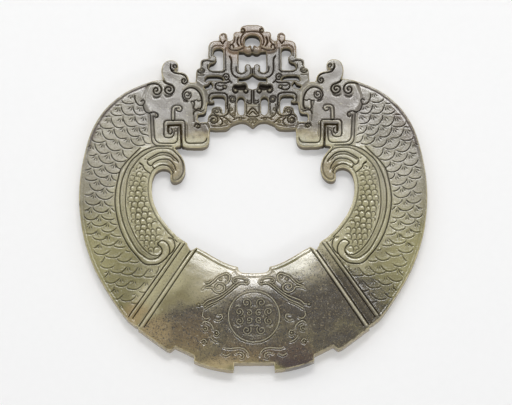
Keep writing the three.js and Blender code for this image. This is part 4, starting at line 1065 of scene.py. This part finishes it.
# Each wave's length, the way it runs and where it starts
POLISH_WAVES = ((7.5, 0.4, 1.0), (5.2, 1.9, 2.6), (9.5, 2.7, 0.3), (3.9, 1.2, 4.1))
POLISH_DEPTH = 0.004
for length, turn, start in POLISH_WAVES:
    along_wave = X[:, :HALF] * math.cos(turn) + Y[:, :HALF] * math.sin(turn)
    height += POLISH_DEPTH * calm * np.sin(along_wave * 2 * math.pi / length + start)
height += np.where(back, 0, 0.4) * (height - blurred(height, 1.5))
plain_height = height
crest = np.isin(label[:, :HALF], [n for n, name in enumerate(names) if "crest" in name]).astype(float)
edge_round = EDGE_ROUND + 0.15 * blurred(crest, 0.7)
inward = edge_round - np.clip(gap, 0, edge_round)
height = height - edge_round + np.sqrt(edge_round ** 2 - inward ** 2)
# Raised relief is painted lighter as a highlight and recessed relief is darkened, and the face's edges get a
# painted highlight rim
relief = (plain_height - blurred(plain_height, 0.8)) / 1.4
rim = smooth(0.45, 0.15, gap) * (1 - 0.6 * crest)
lift = np.clip(0.5 * lift + 1.3 * np.clip(relief, 0, None), 0, 1)
dirt = np.clip(np.maximum(dirt, 1.2 * np.clip(-relief - 0.16, 0, None)), 0, 1)


def whole(field):
    """A field of both halves, from the left one."""
    return np.concatenate([field, field[:, HALF - 2::-1]], 1)


height, plain_height, dirt, lift, rim, stain = (whole(f) for f in (height, plain_height, dirt, lift, rim,
                                                                   stain))
slope_y, slope_x = np.gradient(height, STEP)


class Outline:
    """The stone's cells on a grid, cut along the line where a field is zero."""

    def __init__(self, field, stride, labels):
        f = field[::stride, ::stride]
        f = np.where(np.abs(f) < 0.08 * STEP, 0.08 * STEP, f)
        solid = f > 0
        number = np.full(f.shape, -1)
        number[solid] = np.arange(solid.sum())
        self.corners = int(solid.sum())
        j0, i0 = np.nonzero(solid)
        ends = [(j0, i0, j0, i0, np.zeros(len(j0)))]
        crossing = []
        start = self.corners
        for dj, di in ((0, 1), (1, 0)):
            near_f, far_f = f[:f.shape[0] - dj, :f.shape[1] - di], f[dj:, di:]
            j, i = np.nonzero((near_f > 0) != (far_f > 0))
            ids = np.full(f.shape, -1)
            ids[j, i] = start + np.arange(len(j))
            start += len(j)
            crossing.append(ids)
            ends.append((j, i, j + dj, i + di, near_f[j, i] / (near_f[j, i] - far_f[j, i])))
        self.count = start
        self.j0, self.i0, self.j1, self.i1, self.t = (np.concatenate(parts) for parts in zip(*ends))
        for index in (self.j0, self.i0, self.j1, self.i1):
            index *= stride
        self.x, self.y = self.sample(X), self.sample(Y)
        cells = solid[:-1, :-1].astype(int) + solid[:-1, 1:] + solid[1:, 1:] + solid[1:, :-1]
        j, i = np.nonzero(cells == 4)
        half = stride // 2
        self.quads = np.stack([number[j, i], number[j, i + 1], number[j + 1, i + 1], number[j + 1, i]], 1)
        self.quad_labels = labels[j * stride + half, i * stride + half]
        across, up = crossing
        self.faces, self.face_labels, self.edges, self.edge_labels = [], [], [], []
        for j, i in zip(*np.nonzero((cells > 0) & (cells < 4))):
            ring = ((number[j, i], 0), (across[j, i], 1), (number[j, i + 1], 0), (up[j, i + 1], 1),
                    (number[j + 1, i + 1], 0), (across[j + 1, i], 1), (number[j + 1, i], 0), (up[j, i], 1))
            ring = [(int(v), cut_point) for v, cut_point in ring if v >= 0]
            mark = labels[j * stride + half, i * stride + half]
            self.faces.append([v for v, _ in ring])
            self.face_labels.append(mark)
            for (a, a_cut), (b, b_cut) in zip(ring, ring[1:] + ring[:1]):
                if a_cut and b_cut and not self.same_side(a, b):
                    self.edges.append((a, b))
                    self.edge_labels.append(mark)
        self.edges = np.array(self.edges)

    def same_side(self, a, b):
        """Whether two neighbouring cut points of a cell's ring lie on one side of the cell."""
        same_row = self.j0[a] == self.j1[a] == self.j0[b] == self.j1[b]
        same_column = self.i0[a] == self.i1[a] == self.i0[b] == self.i1[b]
        return same_row or same_column

    def sample(self, field):
        """A field at the outline's points."""
        return field[self.j0, self.i0] * (1 - self.t) + field[self.j1, self.i1] * self.t


# The jaw slit's edges and walls are painted dark as shade, and its walls lean together
slit_near = np.zeros((ROWS, COLUMNS))
for slit in (JAW_SLIT, mirrored(JAW_SLIT)):
    box, dist, _ = near(slit, SHADE_REACH, COLUMNS)
    slit_near[box] = np.maximum(slit_near[box], smooth(0.85, 0.6, dist))
rim *= (1 - slit_near) * (1 - 0.9 * stain)
dirt = np.maximum(dirt, slit_near * smooth(0.22, 0.05, phi))

# The face, the walls below its outline, and the flat back
top_label = label.copy()
roundel_gap = np.hypot((X - centre[0]) / rx, (Y - centre[1]) / ry)
top_label[roundel_gap < 1] = names.index("roundel")
face = Outline(phi, 1, top_label)
back_side = Outline(phi - BACK_INSET, BACK_STRIDE, back_label)

cut_from = face.corners
cuts = face.count - cut_from
outward = np.zeros((cuts, 2))
a, b = face.edges[:, 0], face.edges[:, 1]
run_x, run_y = face.x[b] - face.x[a], face.y[b] - face.y[a]
for v in (a, b):
    np.add.at(outward, v - cut_from, np.stack([run_y, -run_x], 1))
after, before = np.arange(cuts), np.arange(cuts)
after[a - cut_from] = b - cut_from
before[b - cut_from] = a - cut_from
for _ in range(3):
    outward /= np.maximum(np.hypot(*outward.T), 1e-9)[:, None]
    outward = outward[before] + 2 * outward + outward[after]
outward /= np.maximum(np.hypot(*outward.T), 1e-9)[:, None]

face_z = face.sample(height)
face_z[cut_from:] = face.sample(plain_height)[cut_from:] - 0.9 * EDGE_ROUND
points, normals = [], []
shades = {"dirt": [], "lift": [], "rim": [], "stain": [], "wall": []}


def add_layer(x, y, z, facing, **marks):
    """Adds points to the mesh, with the way they face and the marks that the stone's shader reads."""
    points.append(np.stack([x, y, z], 1))
    normals.append(facing)
    for shade, parts in shades.items():
        parts.append(np.zeros(len(x)) + marks.get(shade, 0.0))


slopes = np.stack([-face.sample(slope_x), -face.sample(slope_y), np.ones(face.count)], 1)
slopes[cut_from:] = np.concatenate([outward * 0.75, np.full((cuts, 1), 0.65)], 1)
add_layer(face.x, face.y, face_z, slopes, dirt=face.sample(dirt), lift=face.sample(lift),
          rim=face.sample(rim), stain=face.sample(stain), wall=np.concatenate([np.zeros(cut_from),
                                                                               np.full(cuts, 0.3)]))
cut_x, cut_y = face.x[cut_from:], face.y[cut_from:]
wall_dirt = np.clip(0.1 + 0.9 * face.sample(opening_shade)[cut_from:], 0, 1)
waver = 0.05 * np.sin(cut_x * 1.9 + cut_y * 1.3) + 0.04 * np.sin(cut_x * 0.8 - cut_y * 2.3)
at_slit = face.sample(slit_near)[cut_from:]
pinch = 0.3 * at_slit
# The wall's rings from the top down: height, how far out, how far the stone faces down, and share of the soil
# and painted shade
WALL_RINGS = ((face_z[cut_from:] - 0.55, pinch, 0.0, 0.8), (np.full(cuts, 2.2), waver + pinch, 0.0, 1.0),
              (np.full(cuts, 0.4), waver * 0.5, -0.1, 1.0), (np.zeros(cuts), -FOOT_ROUND, -1.0, 1.0))
for z, out, down, share in WALL_RINGS:
    add_layer(cut_x + outward[:, 0] * out, cut_y + outward[:, 1] * out, z, np.concatenate([outward,
                                                                                           np.full((cuts,
                                                                                                    1),
                                                                                                   down)],
                                                                                          1),
              dirt=np.maximum(wall_dirt * share, at_slit), wall=1.0)
back_from = face.count + len(WALL_RINGS) * cuts
add_layer(back_side.x, back_side.y, np.zeros(back_side.count), np.tile([0.0, 0.0, -1.0],
                                                                       (back_side.count, 1)), dirt=0.1)
points, normals = np.concatenate(points), np.concatenate(normals)
normals /= np.linalg.norm(normals, axis=1)[:, None]
shades = {shade: np.concatenate(parts) for shade, parts in shades.items()}

wall_quads, wall_labels = [], []
ring_from = [0] + [face.count + k * cuts - cut_from for k in range(len(WALL_RINGS))]
for upper, lower in zip(ring_from[:-1], ring_from[1:]):
    wall_quads.append(np.stack([b + upper, a + upper, a + lower, b + lower], 1))
    wall_labels.append(np.array(face.edge_labels))
wall_quads, wall_labels = np.concatenate(wall_quads), np.concatenate(wall_labels)


def faces_of(n):
    """All the faces that belong to one member."""
    out = face.quads[face.quad_labels == n].tolist()
    out += [f for f, mark in zip(face.faces, face.face_labels) if mark == n]
    out += wall_quads[wall_labels == n].tolist()
    out += (back_side.quads[back_side.quad_labels == n][:, ::-1] + back_from).tolist()
    out += [[v + back_from for v in reversed(f)]
            for f, mark in zip(back_side.faces, back_side.face_labels) if mark == n]
    return out


def srgb(*rgb):
    """A colour as seen, from 0 to 255, in Blender's linear values."""
    return tuple((v / 255 / 12.92) if v <= 10 else ((v / 255 + 0.055) / 1.055) ** 2.4 for v in rgb) + (1.0,)


class Shader:
    """Short names for the nodes of one material."""

    def __init__(self, name):
        self.material = bpy.data.materials.new(name)
        self.material.use_nodes = True
        self.tree = self.material.node_tree
        self.surface = self.tree.nodes["Principled BSDF"]
        self.place = self.tree.nodes.new("ShaderNodeTexCoord").outputs["Object"]

    def node(self, kind, inputs, output=0, **settings):
        """A node with its inputs set or linked."""
        made = self.tree.nodes.new(kind)
        for key, value in settings.items():
            setattr(made, key, value)
        for key, value in inputs.items():
            if isinstance(value, bpy.types.NodeSocket):
                self.tree.links.new(value, made.inputs[key])
            else:
                made.inputs[key].default_value = value
        return made.outputs[output]

    def math(self, operation, a, b=0.0, clamp=False):
        """One sum."""
        return self.node("ShaderNodeMath", {0: a, 1: b}, operation=operation, use_clamp=clamp)

    def ramp(self, value, low, high):
        """Nought below low, one above high, and smooth between them."""
        return self.node("ShaderNodeMapRange", {"Value": value, "From Min": low, "From Max": high},
                         interpolation_type="SMOOTHSTEP")

    def noise(self, size_mm, detail=3.0, rough=0.55):
        """Cloudy noise of one size."""
        return self.node("ShaderNodeTexNoise", {"Vector": self.place, "Scale": 1000 / size_mm,
                                                "Detail": detail, "Roughness": rough})

    def mix(self, share, a, b, blend="MIX"):
        """Two colours in one."""
        made = self.tree.nodes.new("ShaderNodeMix")
        made.data_type = "RGBA"
        made.blend_type = blend
        for socket, value in ((made.inputs[0], share), (made.inputs[6], a), (made.inputs[7], b)):
            if isinstance(value, bpy.types.NodeSocket):
                self.tree.links.new(value, socket)
            else:
                socket.default_value = value
        return made.outputs[2]

    def shade(self, name):
        """One of the marks that the mesh carries."""
        made = self.tree.nodes.new("ShaderNodeAttribute")
        made.attribute_name = name
        return made.outputs["Fac"]


def jade():
    """The stone: its colour zones with a few patches of painted sheen, flecks, soil and painted shade,
    painted highlights, a painted glow on the walls, polish and fine bumps.
    """
    s = Shader("jade")
    # The zones' borders wander, so their places are read from shifted coordinates
    drift = s.node("ShaderNodeTexNoise", {"Vector": s.place, "Scale": 70.0, "Detail": 3.0}, output=1)
    drift = s.node("ShaderNodeVectorMath", {0: drift, 1: (0.5, 0.5, 0.5)}, operation="SUBTRACT")
    drift = s.node("ShaderNodeVectorMath", {0: drift, "Scale": 0.02}, operation="SCALE")
    moved = s.node("ShaderNodeVectorMath", {0: s.place, 1: drift}, operation="ADD")

    def zone(at_px, half_px, turn_degrees=0.0, soft=0.35):
        """A soft-edged oval on the face, given in the photograph's pixels."""
        x, y = to_face(at_px)
        half = (half_px[0] * MM_PER_PX / 1000, half_px[1] * MM_PER_PX / math.cos(TILT) / 1000)
        local = s.node("ShaderNodeVectorMath", {0: moved, 1: (x / 1000, y / 1000, 0.0)}, operation="SUBTRACT")
        if turn_degrees:
            local = s.node("ShaderNodeVectorRotate", {"Vector": local, "Angle": math.radians(-turn_degrees)},
                           rotation_type="Z_AXIS")
        local = s.node("ShaderNodeVectorMath", {0: local, 1: (1 / half[0], 1 / half[1], 0.0)},
                       operation="MULTIPLY")
        far = s.node("ShaderNodeVectorMath", {0: local}, output="Value", operation="LENGTH")
        return s.ramp(far, 1 + soft, 1 - soft)

    def tinted(colour, zones):
        for at_px, half_px, turn, soft, tone, most in zones:
            amount = s.math("MULTIPLY", zone(at_px, half_px, turn, soft), most)
            colour = s.mix(amount, colour, srgb(*tone))
        return colour

    height_up = s.node("ShaderNodeSeparateXYZ", {"Vector": moved}, output="Y")
    cloud = s.noise(9, 4)
    fine = s.noise(1.6, 5, 0.65)
    upper = s.mix(cloud, srgb(106, 100, 82), srgb(136, 130, 112))
    lower = s.mix(cloud, srgb(98, 92, 44), srgb(128, 121, 74))
    share = s.ramp(height_up, -0.020, 0.014)
    colour = s.mix(share, lower, upper)

    colour = tinted(colour, ZONES)

    # The dark cloud over the panel, with black and pale flecks
    dark_cloud = 0.0
    for at_px, half_px, turn, soft, most in DARK_ZONES:
        part = s.math("MULTIPLY", zone(at_px, half_px, turn, soft), most)
        dark_cloud = s.math("MAXIMUM", dark_cloud, part)
    broken = s.math("ADD", dark_cloud, s.math("MULTIPLY", s.math("SUBTRACT", fine, 0.5), 0.7))
    broken = s.math("MULTIPLY", s.ramp(broken, 0.0, 1.0), s.ramp(dark_cloud, 0.0, 0.15))
    colour = s.mix(s.math("MULTIPLY", broken, 0.9), colour, srgb(42, 29, 9))
    # The late patches, three of them painted sheen
    colour = tinted(colour, LATE_ZONES)
    grainy = s.ramp(dark_cloud, -0.25, 0.6)
    flecks = s.math("MULTIPLY", s.ramp(s.noise(0.55, 3, 0.7), 0.53, 0.6), grainy)
    colour = s.mix(s.math("MULTIPLY", flecks, 0.95), colour, srgb(20, 15, 10))
    sparks = s.math("MULTIPLY", s.ramp(s.noise(0.6, 3, 0.7), 0.57, 0.66), grainy)
    colour = s.mix(s.math("MULTIPLY", sparks, 0.4), colour, srgb(176, 160, 122))
    pale = s.ramp(s.noise(1.3, 2, 0.5), 0.66, 0.72)
    colour = s.mix(s.math("MULTIPLY", pale, 0.4), colour, srgb(170, 164, 140))
    specks = s.ramp(s.noise(0.7, 1, 0.5), 0.68, 0.74)
    colour = s.mix(s.math("MULTIPLY", specks, 0.5), colour, srgb(74, 62, 44))

    mottle = s.math("ADD", s.math("MULTIPLY", s.noise(0.8, 4, 0.7), 0.44), 0.755)
    colour = s.mix(1.0, colour, s.node("ShaderNodeCombineColor", {"Red": mottle, "Green": mottle,
                                                                  "Blue": mottle}), "MULTIPLY")

    lift_shade, dirt_shade, wall_shade = s.shade("lift"), s.shade("dirt"), s.shade("wall")
    # Raised lines and relief are painted paler: painted highlight, stronger over the dark cloud
    lifted = s.math("ADD", 0.38, s.math("MULTIPLY", dark_cloud, 0.3))
    colour = s.mix(s.math("MULTIPLY", lift_shade, lifted), colour, srgb(204, 197, 170))
    stained = s.math("MULTIPLY", s.shade("stain"), s.ramp(s.noise(3, 4), 0.25, 0.6))
    colour = s.mix(s.math("MULTIPLY", stained, 0.9), colour, srgb(62, 42, 23))
    # Soil in the grooves, painted shade on the openings' walls and in the jaw slit, and a darkening of
    # recessed relief, mixed in as dark brown
    darkening = s.math("MULTIPLY", dirt_shade, s.ramp(s.noise(2.2, 3), 0.0, 0.4))
    colour = s.mix(s.math("MULTIPLY", darkening, 0.96), colour, srgb(24, 17, 10))
    # Walls are painted a paler gold: a painted glow of light through the thin stone
    colour = s.mix(s.math("MULTIPLY", wall_shade, 0.8), colour, srgb(164, 144, 94))
    # Walls near openings are painted near black: painted shade
    shaded_wall = s.math("MULTIPLY", wall_shade, dirt_shade)
    colour = s.mix(s.math("MULTIPLY", shaded_wall, 0.9), colour, srgb(30, 23, 15))

    colour = tinted(colour, SKIN_ZONES)

    # A painted highlight along the face's edges, in pale gold
    rim = s.math("MULTIPLY", s.shade("rim"), s.math("MULTIPLY", s.ramp(s.noise(1.8, 2), 0.2, 0.6), 0.6))
    colour = s.mix(rim, colour, srgb(222, 210, 168))

    surface = s.surface
    s.tree.links.new(colour, surface.inputs["Base Color"])
    rough = s.math("ADD", s.math("MULTIPLY", s.noise(4, 4), 0.08), 0.13)
    rough = s.math("ADD", rough, s.math("MULTIPLY", zone((253, 72), (60, 46), 0, 0.4), 0.12))
    rough = s.math("ADD", rough, s.math("MULTIPLY", dirt_shade, 0.35), clamp=True)
    s.tree.links.new(rough, surface.inputs["Roughness"])
    surface.inputs["IOR"].default_value = 1.61
    shine = s.math("SUBTRACT", 0.5, s.math("MULTIPLY", dirt_shade, 0.42), clamp=True)
    s.tree.links.new(shine, surface.inputs["Specular IOR Level"])
    surface.inputs["Subsurface Weight"].default_value = 0.1
    surface.inputs["Subsurface Radius"].default_value = (1.0, 0.85, 0.5)
    surface.inputs["Subsurface Scale"].default_value = 0.0012
    bumps = s.math("ADD", s.noise(0.5, 3), s.math("MULTIPLY", s.noise(1.8, 2), 0.3))
    bump = s.node("ShaderNodeBump", {"Height": bumps, "Strength": 0.07, "Distance": 0.0003}, output="Normal")
    s.tree.links.new(bump, surface.inputs["Normal"])
    return s.material


# Colour zones of the stone: place and half size in pixels, turn, softness, colour as seen, greatest share
ZONES = (
    ((253, 72), (60, 38), 0, 0.4, (72, 66, 59), 0.9),
    ((254, 36), (64, 13), 0, 0.35, (110, 84, 58), 0.78),
    ((254, 48), (21, 10), 0, 0.4, (112, 86, 58), 0.8),
    ((165, 104), (28, 20), 10, 0.6, (130, 126, 120), 0.85),
    ((340, 106), (30, 22), -10, 0.6, (118, 111, 104), 0.85),
    ((253, 322), (96, 44), 0, 0.4, (124, 113, 80), 0.6),
    ((216, 282), (30, 26), 0, 0.5, (158, 150, 118), 0.85),
    ((158, 290), (17, 50), -35, 0.45, (174, 167, 130), 0.85),
    ((106, 150), (28, 64), 15, 0.6, (152, 146, 124), 0.65),
    ((390, 196), (26, 42), 0, 0.6, (168, 162, 140), 0.65),
    ((402, 112), (12, 20), 0, 0.5, (82, 62, 42), 0.75),
    ((254, 122), (64, 13), 0, 0.5, (112, 97, 62), 0.7),
    ((130, 316), (20, 12), 30, 0.6, (146, 122, 74), 0.8),
    ((214, 360), (28, 10), 10, 0.6, (182, 166, 122), 0.8),
)
# Zones that are much the same on both sides, given for the left; the one at the wing border's lower end is
# painted sheen
PAIRED_ZONES = (
    ((146, 198), (26, 48), 0, 0.5, (183, 177, 141), 0.88),
    # Painted sheen at the wing border's lower end
    ((146, 262), (14, 10), 0, 0.6, (176, 170, 138), 0.5),
    ((139, 208), (11, 38), 0, 0.5, (150, 144, 106), 0.75),
    ((172, 243), (15, 14), 0, 0.6, (188, 181, 146), 0.66),
    ((94, 262), (20, 54), -20, 0.6, (152, 146, 98), 0.6),
    ((172, 68), (10, 13), 0, 0.5, (94, 88, 82), 0.8),
    ((203, 121), (14, 12), 0, 0.6, (70, 60, 42), 0.85),
    ((176, 130), (13, 8), 0, 0.6, (104, 96, 82), 0.5),
    ((197, 138), (14, 7), 0, 0.5, (148, 135, 94), 0.8),
    ((178, 168), (10, 14), 0, 0.6, (152, 136, 92), 0.6),
    ((178, 147), (30, 9), 0, 0.6, (184, 178, 146), 0.78),
    ((158, 134), (9, 13), 0, 0.6, (178, 172, 156), 0.7),
)
ZONES += PAIRED_ZONES + tuple(((2 * MIDDLE_PX[0] - at[0], at[1]), half, -turn, *rest)
                              for at, half, turn, *rest in PAIRED_ZONES)
# Patches over the dark cloud, given in the same way; three of them are painted sheen, the others the stone's
# own colour
LATE_ZONES = (
    ((253, 354), (66, 12), 0, 0.7, (128, 102, 58), 0.45),
    # Painted sheen at the band's top right, with a fainter patch of it below
    ((312, 256), (20, 10), 30, 0.7, (196, 190, 164), 0.8),
    ((322, 270), (24, 12), 40, 0.7, (158, 150, 122), 0.6),
    ((182, 340), (26, 10), 24, 0.7, (124, 100, 56), 0.5),
    ((312, 356), (38, 12), -16, 0.5, (60, 38, 20), 0.8),
    # Painted sheen below the notch
    ((250, 279), (36, 12), 0, 0.8, (206, 197, 177), 0.75),
    ((156, 332), (18, 10), 30, 0.6, (152, 130, 86), 0.7),
)
# Red-brown skin at the foot's right, on the face and down its wall, given in the same way
SKIN_ZONES = (
    ((297, 363), (25, 8), -10, 0.5, (44, 22, 13), 0.88),
)
# The dark cloud's lobes: place and half size in pixels, turn, softness, greatest share
DARK_ZONES = (
    ((248, 316), (44, 34), 0, 0.6, 0.9),
    ((314, 298), (46, 36), 20, 0.5, 1.0),
    ((194, 326), (40, 13), 12, 0.8, 0.9),
    ((262, 340), (62, 16), 0, 0.7, 0.75),
    ((338, 342), (32, 16), -25, 0.6, 0.9),
    ((294, 330), (26, 12), 0, 0.7, 0.7),
    ((290, 356), (34, 14), -14, 0.4, 1.0),
    ((360, 306), (44, 28), -40, 0.6, 0.9),
)

material = jade()
for n, name in enumerate(names):
    polygons = faces_of(n)
    used = np.unique(np.concatenate([np.array(f) for f in polygons]))
    renumber = np.full(len(points), -1)
    renumber[used] = np.arange(len(used))
    lookup = renumber.tolist()
    mesh = bpy.data.meshes.new("carved_" + name)
    mesh.from_pydata((points[used] / 1000).tolist(), [], [[lookup[v] for v in f] for f in polygons])
    mesh.polygons.foreach_set("use_smooth", np.ones(len(mesh.polygons), bool))
    mesh.update()
    mesh.normals_split_custom_set_from_vertices(normals[used].tolist())
    for shade, values in shades.items():
        attribute = mesh.attributes.new(shade, "FLOAT", "POINT")
        attribute.data.foreach_set("value", values[used].astype(np.float32))
    mesh.materials.append(material)
    piece = bpy.data.objects.new("carved_" + name, mesh)
    bpy.context.scene.collection.objects.link(piece)
    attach(piece, "root")
    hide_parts(name)

# The table, the lamps and the camera
FLOOR_HALF = 1.5
FLOOR_DROP = 0.00005
PAPER_GLOW = 0.28
SKY_LIGHT = 0.44
SKY_SEEN = 0.88


def background_rays(tree):
    """1 for the rays that show the background: to the camera, off gloss or through glass."""
    path = tree.nodes.new("ShaderNodeLightPath")
    found = path.outputs["Is Camera Ray"]
    for kind in ("Is Glossy Ray", "Is Transmission Ray"):
        either = tree.nodes.new("ShaderNodeMath")
        either.operation = "MAXIMUM"
        tree.links.new(found, either.inputs[0])
        tree.links.new(path.outputs[kind], either.inputs[1])
        found = either.outputs[0]
    return found


floor_mesh = bpy.data.meshes.new("table")
floor_mesh.from_pydata([(-FLOOR_HALF, -FLOOR_HALF, 0), (FLOOR_HALF, -FLOOR_HALF, 0),
                        (FLOOR_HALF, FLOOR_HALF, 0), (-FLOOR_HALF, FLOOR_HALF, 0)], [], [(0, 1, 2, 3)])
table = bpy.data.objects.new("table", floor_mesh)
table.location.z = -FLOOR_DROP
bpy.context.scene.collection.objects.link(table)
paper = Shader("paper")
grain = paper.mix(paper.noise(3), srgb(243, 243, 243), srgb(247, 247, 247))
paper.tree.links.new(grain, paper.surface.inputs["Base Color"])
paper.surface.inputs["Roughness"].default_value = 0.95
paper.surface.inputs["Specular IOR Level"].default_value = 0.0
seen = background_rays(paper.tree)
lit = paper.node("ShaderNodeEmission", {"Color": srgb(245, 245, 245), "Strength": 1.0}, output="Emission")
both = paper.tree.nodes.new("ShaderNodeMixShader")
paper.tree.links.new(paper.math("MULTIPLY", seen, PAPER_GLOW), both.inputs[0])
paper.tree.links.new(paper.surface.outputs[0], both.inputs[1])
paper.tree.links.new(lit, both.inputs[2])
paper.tree.links.new(both.outputs[0], paper.tree.nodes["Material Output"].inputs["Surface"])
floor_mesh.materials.append(paper.material)


def lamp(name, place, target, size, watts):
    """A rectangular lamp turned to its target."""
    data = bpy.data.lights.new(name, "AREA")
    data.shape = "RECTANGLE"
    data.size, data.size_y = size
    data.energy = watts
    made = bpy.data.objects.new(name, data)
    made.location = place
    made.rotation_euler = (Vector(target) - Vector(place)).to_track_quat("-Z", "Y").to_euler()
    bpy.context.scene.collection.objects.link(made)


lamp("window_softbox", (0.03, 0.39, 0.87), (0, 0, 0), (0.42, 0.2), 3.5)
lamp("back_panel", (0.0, 0.85, 0.95), (0, 0, 0), (1.6, 1.0), 3.1)
lamp("left_strip", (-0.62, 0.42, 0.6), (0, 0, 0), (0.06, 0.5), 0.9)
lamp("right_strip", (0.7, 0.25, 0.6), (0, 0, 0), (0.06, 0.5), 0.6)
lamp("front_strip", (0.1, -0.8, 0.6), (0, 0, 0), (0.6, 0.06), 1.3)

world = bpy.data.worlds.new("studio")
bpy.context.scene.world = world
world.use_nodes = True
sky = world.node_tree.nodes["Background"]
sky.inputs["Color"].default_value = srgb(248, 248, 248)
strength = world.node_tree.nodes.new("ShaderNodeMath")
strength.operation = "MULTIPLY_ADD"
world.node_tree.links.new(background_rays(world.node_tree), strength.inputs[0])
strength.inputs[1].default_value = SKY_SEEN - SKY_LIGHT
strength.inputs[2].default_value = SKY_LIGHT
world.node_tree.links.new(strength.outputs[0], sky.inputs["Strength"])

IMAGE = (512, 405)
CAMERA_DISTANCE = 2500.0
SENSOR_WIDTH = 36
FACE_HEIGHT = 5.5
look = to_face((IMAGE[0] / 2, IMAGE[1] / 2))
target = Vector((look[0], look[1], FACE_HEIGHT)) / 1000
down = math.pi / 2 - TILT
forward = Vector((0, math.cos(down), -math.sin(down)))
side = Vector((1, 0, 0))
up = side.cross(forward)
rolled_side = side * math.cos(TURN) - up * math.sin(TURN)
rolled_up = up * math.cos(TURN) + side * math.sin(TURN)
camera_data = bpy.data.cameras.new("camera")
camera_data.sensor_width = SENSOR_WIDTH
camera_data.lens = SENSOR_WIDTH * CAMERA_DISTANCE / (IMAGE[0] * MM_PER_PX)
camera_data.clip_end = 10
camera = bpy.data.objects.new("camera", camera_data)
turn = Matrix((rolled_side, rolled_up, -forward)).transposed()
camera.matrix_world = Matrix.Translation(target - forward * CAMERA_DISTANCE / 1000) @ turn.to_4x4()
bpy.context.scene.collection.objects.link(camera)
bpy.context.scene.camera = camera
bpy.context.scene.view_settings.view_transform = "Standard"
